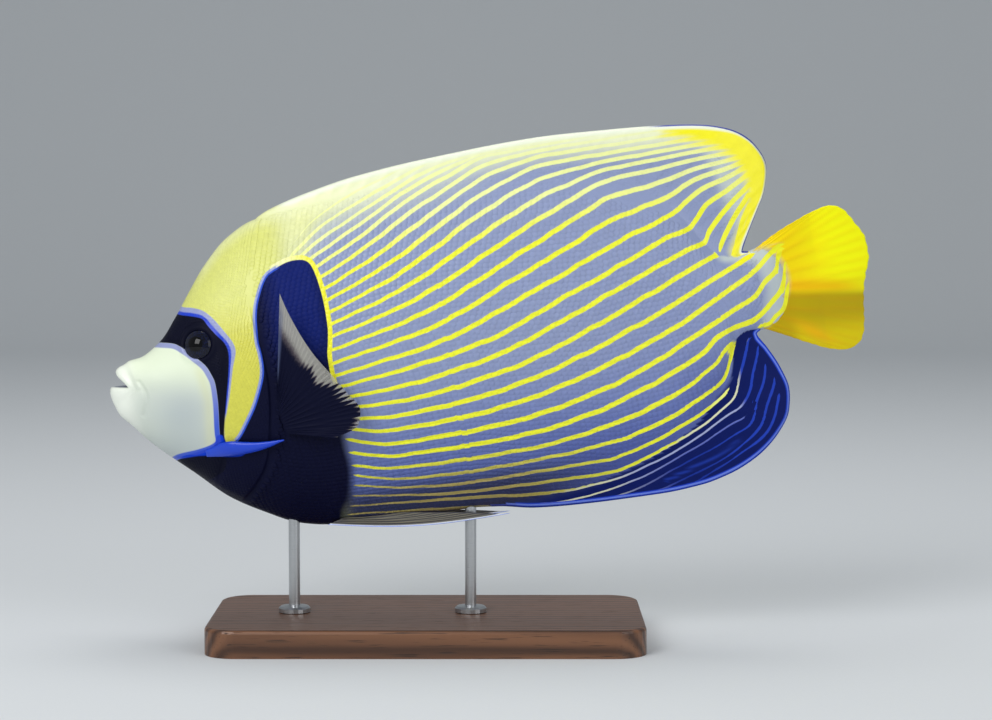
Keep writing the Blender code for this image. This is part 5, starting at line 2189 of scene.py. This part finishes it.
def moved(points: Array, place: Array, line: Array, distance: Array) -> Array:
    """Moves places along the lines of a grid.

    Args:
        points: The grid, whose first axis runs along the lines.
        place: Numbers along the lines.
        line: Which line each place is on, by number.
        distance: How far each moves, in millimetres.

    Returns:
        The new numbers along the lines.
    """
    steps = np.linalg.norm(np.diff(points, axis=0), axis=-1)
    lengths = np.concatenate((np.zeros((1, steps.shape[1])), np.cumsum(np.maximum(steps, 1e-6), axis=0)))
    numbers = np.arange(len(lengths))
    nearest = np.clip(np.round(line).astype(int), 0, steps.shape[1] - 1)
    out = place.copy()
    for k in np.unique(nearest):
        on = nearest == k
        start = np.interp(place[on], numbers, lengths[:, k])
        out[on] = np.interp(start + distance[on], lengths[:, k], numbers)
    return out


class Sampler:
    """Reads a grid's values between its points."""

    def __init__(self, column: Array, row: Array) -> None:
        """Keeps the places, as column and row numbers."""
        self.column, self.row = column, row

    def __call__(self, values: Array) -> Array:
        """The values there.

        Args:
            values: The grid's values.

        Returns:
            A value for each place.
        """
        columns, rows = values.shape[:2]
        i = np.clip(self.column.astype(int), 0, columns - 2)
        j = np.clip(self.row.astype(int), 0, rows - 2)
        a, b = np.clip(self.column - i, 0, 1), np.clip(self.row - j, 0, 1)
        if values.ndim == 3:
            a, b = a[:, None], b[:, None]
        near = values[i, j] * (1 - b) + values[i, j + 1] * b
        far = values[i + 1, j] * (1 - b) + values[i + 1, j + 1] * b
        return near * (1 - a) + far * a


@dataclass(frozen=True)
class StudioPaper:
    """Matt seamless background paper, which gives a soft even ground."""

    name: str = "studio_paper_matt"
    tone: str = "#d9dcde"

    def make(self) -> Material:
        """Builds the material.

        Returns:
            The material.
        """
        recipe = Recipe(self.name)
        add = recipe.add
        pulp = add(Step.PLUS, add(Step.TIMES, add(Step.NOISE, recipe.place, per_mm(1.5), 3.0), 0.04), 0.98)
        return recipe.finish({
            "Base Color": add(Step.SHADE, pulp, self.tone), "Roughness": 0.9, "Specular IOR Level": 0.2,
        })


@dataclass
class Studio:
    """Paper sweep, soft lights and the camera."""

    view: Viewpoint
    reach: float = 4.0  # metres of paper each way
    bend: float = 1.9  # where the paper starts to rise, behind the model
    radius: float = 1.0

    def build(self) -> Piece:
        """Makes the paper, which lies flat and curves up behind the model.

        Returns:
            The paper.
        """
        turn = np.linspace(0, math.pi / 2, 17)
        behind = self.bend + self.radius
        y = np.concatenate(([-self.reach], self.bend + self.radius * np.sin(turn), [behind]))
        z = np.concatenate(([0.0], self.radius * (1 - np.cos(turn)), [self.reach]))
        points = [(x, float(a), float(b)) for a, b in zip(y, z) for x in (-self.reach, self.reach)]
        faces = [(2 * k, 2 * k + 1, 2 * k + 3, 2 * k + 2) for k in range(len(y) - 1)]
        mesh = bpy.data.meshes.new("studio_paper")
        mesh.from_pydata(points, [], faces)
        mesh.shade_smooth()
        paper = bpy.data.objects.new("studio_paper", mesh)
        bpy.context.scene.collection.objects.link(paper)
        paper.data.materials.append(StudioPaper().make())
        return paper

    def light(self, name: str, place: tuple[float, float, float], size: float, watts: float) -> None:
        """A square soft light that faces the model.

        Args:
            name: Its name.
            place: Its place in metres.
            size: Its side.
            watts: Its power.
        """
        lamp = bpy.data.lights.new(name, "AREA")
        lamp.size, lamp.energy = size, watts
        obj = bpy.data.objects.new(name, lamp)
        obj.location = place
        aim = Vector(self.view.target) * MM - Vector(place)
        obj.rotation_euler = aim.to_track_quat("-Z", "Y").to_euler()
        bpy.context.scene.collection.objects.link(obj)

    def dress(self) -> None:
        """Lights the scene and sets up the camera."""
        scene = bpy.context.scene
        scene.view_settings.view_transform = "Standard"
        world = bpy.data.worlds.new("studio_air")
        world.use_nodes = True
        world.node_tree.nodes["Background"].inputs["Color"].default_value = (0.9, 0.95, 1.0, 1.0)
        world.node_tree.nodes["Background"].inputs["Strength"].default_value = 0.36
        scene.world = world
        self.light("key_softbox", (-0.8, -1.15, 1.0), 0.9, 14.0)
        self.light("fill_softbox", (1.25, -1.25, 0.75), 1.2, 8.5)
        self.light("top_softbox", (0.1, 0.35, 1.5), 0.9, 7.0)
        lens = bpy.data.cameras.new("photo_view")
        lens.sensor_width = self.view.sensor
        lens.lens = self.view.sensor * self.view.distance / self.view.frame_width
        camera = bpy.data.objects.new("photo_view", lens)
        camera.location = Vector(self.view.place()) * MM
        camera.rotation_euler = (math.pi / 2 - self.view.elevation, 0, 0)
        scene.collection.objects.link(camera)
        scene.camera = camera


@dataclass(frozen=True)
class OiledWalnut:
    """Planed and oiled walnut: dark brown, with long grain and open pores under a satin oil."""

    name: str = "walnut_oiled"
    light: str = "#7a5238"
    dark: str = "#442a1b"
    pore: str = "#24150d"
    ring: float = 5.0  # millimetres between growth lines

    def make(self) -> Material:
        """Builds the material.

        Returns:
            The material.
        """
        recipe = Recipe(self.name)
        add = recipe.add
        along = add(Step.STRETCH, recipe.place, (0.06, 1.0, 1.0))
        sway = add(Step.TIMES, add(Step.NOISE, along, per_mm(16), 3.0), 9.0)
        depth = add(Step.PLUS, add(Step.Y_OF, along), add(Step.TIMES, add(Step.Z_OF, along), 0.35))
        phase = add(Step.PLUS, add(Step.TIMES, depth, 2 * math.pi * per_mm(self.ring)), sway)
        ring = add(Step.PLUS, add(Step.TIMES, add(Step.WAVE, phase), 0.5), 0.5)
        fine = add(Step.STRETCH, recipe.place, (0.04, 1.0, 1.0))
        pore = add(Step.CLIMB, add(Step.NOISE, fine, per_mm(0.6)), 0.60, 0.70)
        dark = add(Step.TIMES, pore, 0.7)
        return recipe.finish({
            "Base Color": recipe.coats(self.light, (ring, self.dark), (dark, self.pore)),
            "Roughness": add(Step.PLUS, add(Step.TIMES, pore, 0.2), 0.36),
            "Normal": add(Step.DENT, 0.4, 0.1 * MM, pore),
        })


@dataclass(frozen=True)
class BrushedSteel:
    """Stainless steel turned in a lathe and brushed round, with fine rings that soften its shine."""

    name: str = "steel_brushed"
    tone: str = "#b9bbbd"
    line: float = 0.35  # millimetres between brush lines, coarser than real so that they show

    def make(self) -> Material:
        """Builds the material.

        Returns:
            The material.
        """
        recipe = Recipe(self.name)
        add = recipe.add
        flat = add(Step.STRETCH, recipe.place, (0.05, 0.05, 1.0))
        lines = add(Step.NOISE, flat, per_mm(self.line))
        shade = add(Step.PLUS, add(Step.TIMES, lines, 0.16), 0.92)
        return recipe.finish({
            "Base Color": add(Step.SHADE, shade, self.tone), "Metallic": 1.0,
            "Roughness": add(Step.PLUS, add(Step.TIMES, lines, 0.2), 0.22),
            "Normal": add(Step.BUMP, 0.2, 0.03 * MM, lines),
        })


class Stand:
    """The plain display stand, whose solids keep their own shape."""

    def dress(self) -> None:
        """Gives the base and the rods their finishes."""
        wood, steel = OiledWalnut().make(), BrushedSteel().make()
        for node, material in (("stand_base", wood), ("stand_rod_front", steel), ("stand_rod_rear", steel)):
            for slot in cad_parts[node].material_slots:
                slot.material = material
            LOG.info("%s: %s", node, material.name)


@dataclass
class ScaleCoats:
    """All the coats of scales: small on the head, larger on the flanks, smallest on the fins."""

    skin: Skin
    fin_margin: float = 4.5  # millimetres of bare margin on the fins

    def on_body(self, info: dict[str, Array]) -> Array:
        """The flanks behind the head.

        Args:
            info: What is known of each root.

        Returns:
            Whether a scale grows there.
        """
        behind = info["gill"] > np.where(info["u"] > 0.68, 0.0, 1.0)
        behind &= (info["u"] < 0.84) | (info["s"] < 215)  # the skin is smooth along the fin's rear root
        return behind & (info["up"] <= 0) & (info["down"] <= 0) & (info["s"] < 287)

    def on_fins(self, info: dict[str, Array]) -> Array:
        """The scaly part of the dorsal and anal fins.

        Args:
            info: What is known of each root.

        Returns:
            Whether a scale grows there.
        """
        fin = (info["up"] > 0) | (info["down"] > 0)
        cream = info["h"] - Curve(CREAM_FROM)(info["s"])
        bare = (info["velvet"] > 0.5) | ((info["up"] > 0) & (cream > -4)) | (info["gold"] > -3)
        return fin & ~bare & (np.minimum(info["edge_top"], info["edge_bottom"]) > self.fin_margin)

    def on_head(self, info: dict[str, Array]) -> Array:
        """The cheeks, gill covers and nape, clear of the eye, muzzle and spine.

        Args:
            info: What is known of each root.

        Returns:
            Whether a scale grows there.
        """
        s, h = info["s"], info["h"]
        away = np.hypot(s - EYE_AT[0], h - EYE_AT[1])
        clear_of_spine = (np.abs(h + 33) > 3.4) | (s < 36)
        smooth = info["gill"] < np.where(info["u"] > 0.68, -0.2, -2.6)
        smooth &= (info["cheek"] < -2.4) | (info["cheek"] > 0.8) | (info["u"] > 0.34)
        return smooth & (s > 24) & (info["muzzle"] < -1.2) & (away > 9.0) & clear_of_spine

    def build(self) -> list[Piece]:
        """Makes the six coats.

        Returns:
            The coats.
        """
        coats = []
        for side in Side:
            kinds = (  # length, width, pitch along a row and from row to row, place and lift
                ("scales_body", 3.3, 2.9, 2.5, 2.15, self.on_body, 0.13),
                ("scales_fins", 2.2, 1.9, 1.75, 1.5, self.on_fins, 0.05),
                ("scales_head", 2.1, 1.9, 1.6, 1.4, self.on_head, 0.06),
            )
            for name, *sizes in kinds:
                coats.append(ScaleCoat(f"{name}_{side.word}", side, self.skin, *sizes).build())
        return coats


def main() -> None:
    """Builds the pieces in order and reports each."""
    pose, view, form = Pose(), Viewpoint(), BodyForm()
    markings = Markings(pose, view, form)
    skin = Skin(form, markings)
    finish_piece(
        skin.build(), WetSkin().make(), "skin",
        ("head", "gill_cover_left", "gill_cover_right", "trunk", "tail_stem", "dorsal_fin", "anal_fin"),
    )
    scaled = WetSkin(name="fish_scales_wet", scales=True).make()
    for coat in ScaleCoats(skin).build():
        finish_piece(coat, scaled, "skin")
    finish_piece(TailFin(form, markings).build(), TailMembrane().make(), "tail_fin", ("caudal_fin",))
    pairs = (
        (PectoralFin, ClearFin().make(), "clear_fin", "pectoral_fin"),
        (PelvicFin, PelvicMembrane().make(), "pelvic_fin", "pelvic_fin"),
        (CheekSpine, BoneSpine().make(), "spine", "cheek_spine"),
        (Eye, GlassEye().make(), "eye", "eye"),
    )
    for side in Side:
        for maker, material, slot, node in pairs:
            finish_piece(maker(form, pose, side).build(), material, slot, (f"{node}_{side.word}",))
    Stand().dress()
    studio = Studio(view)
    studio.build()
    studio.dress()


if __name__ == "__main__":
    main()
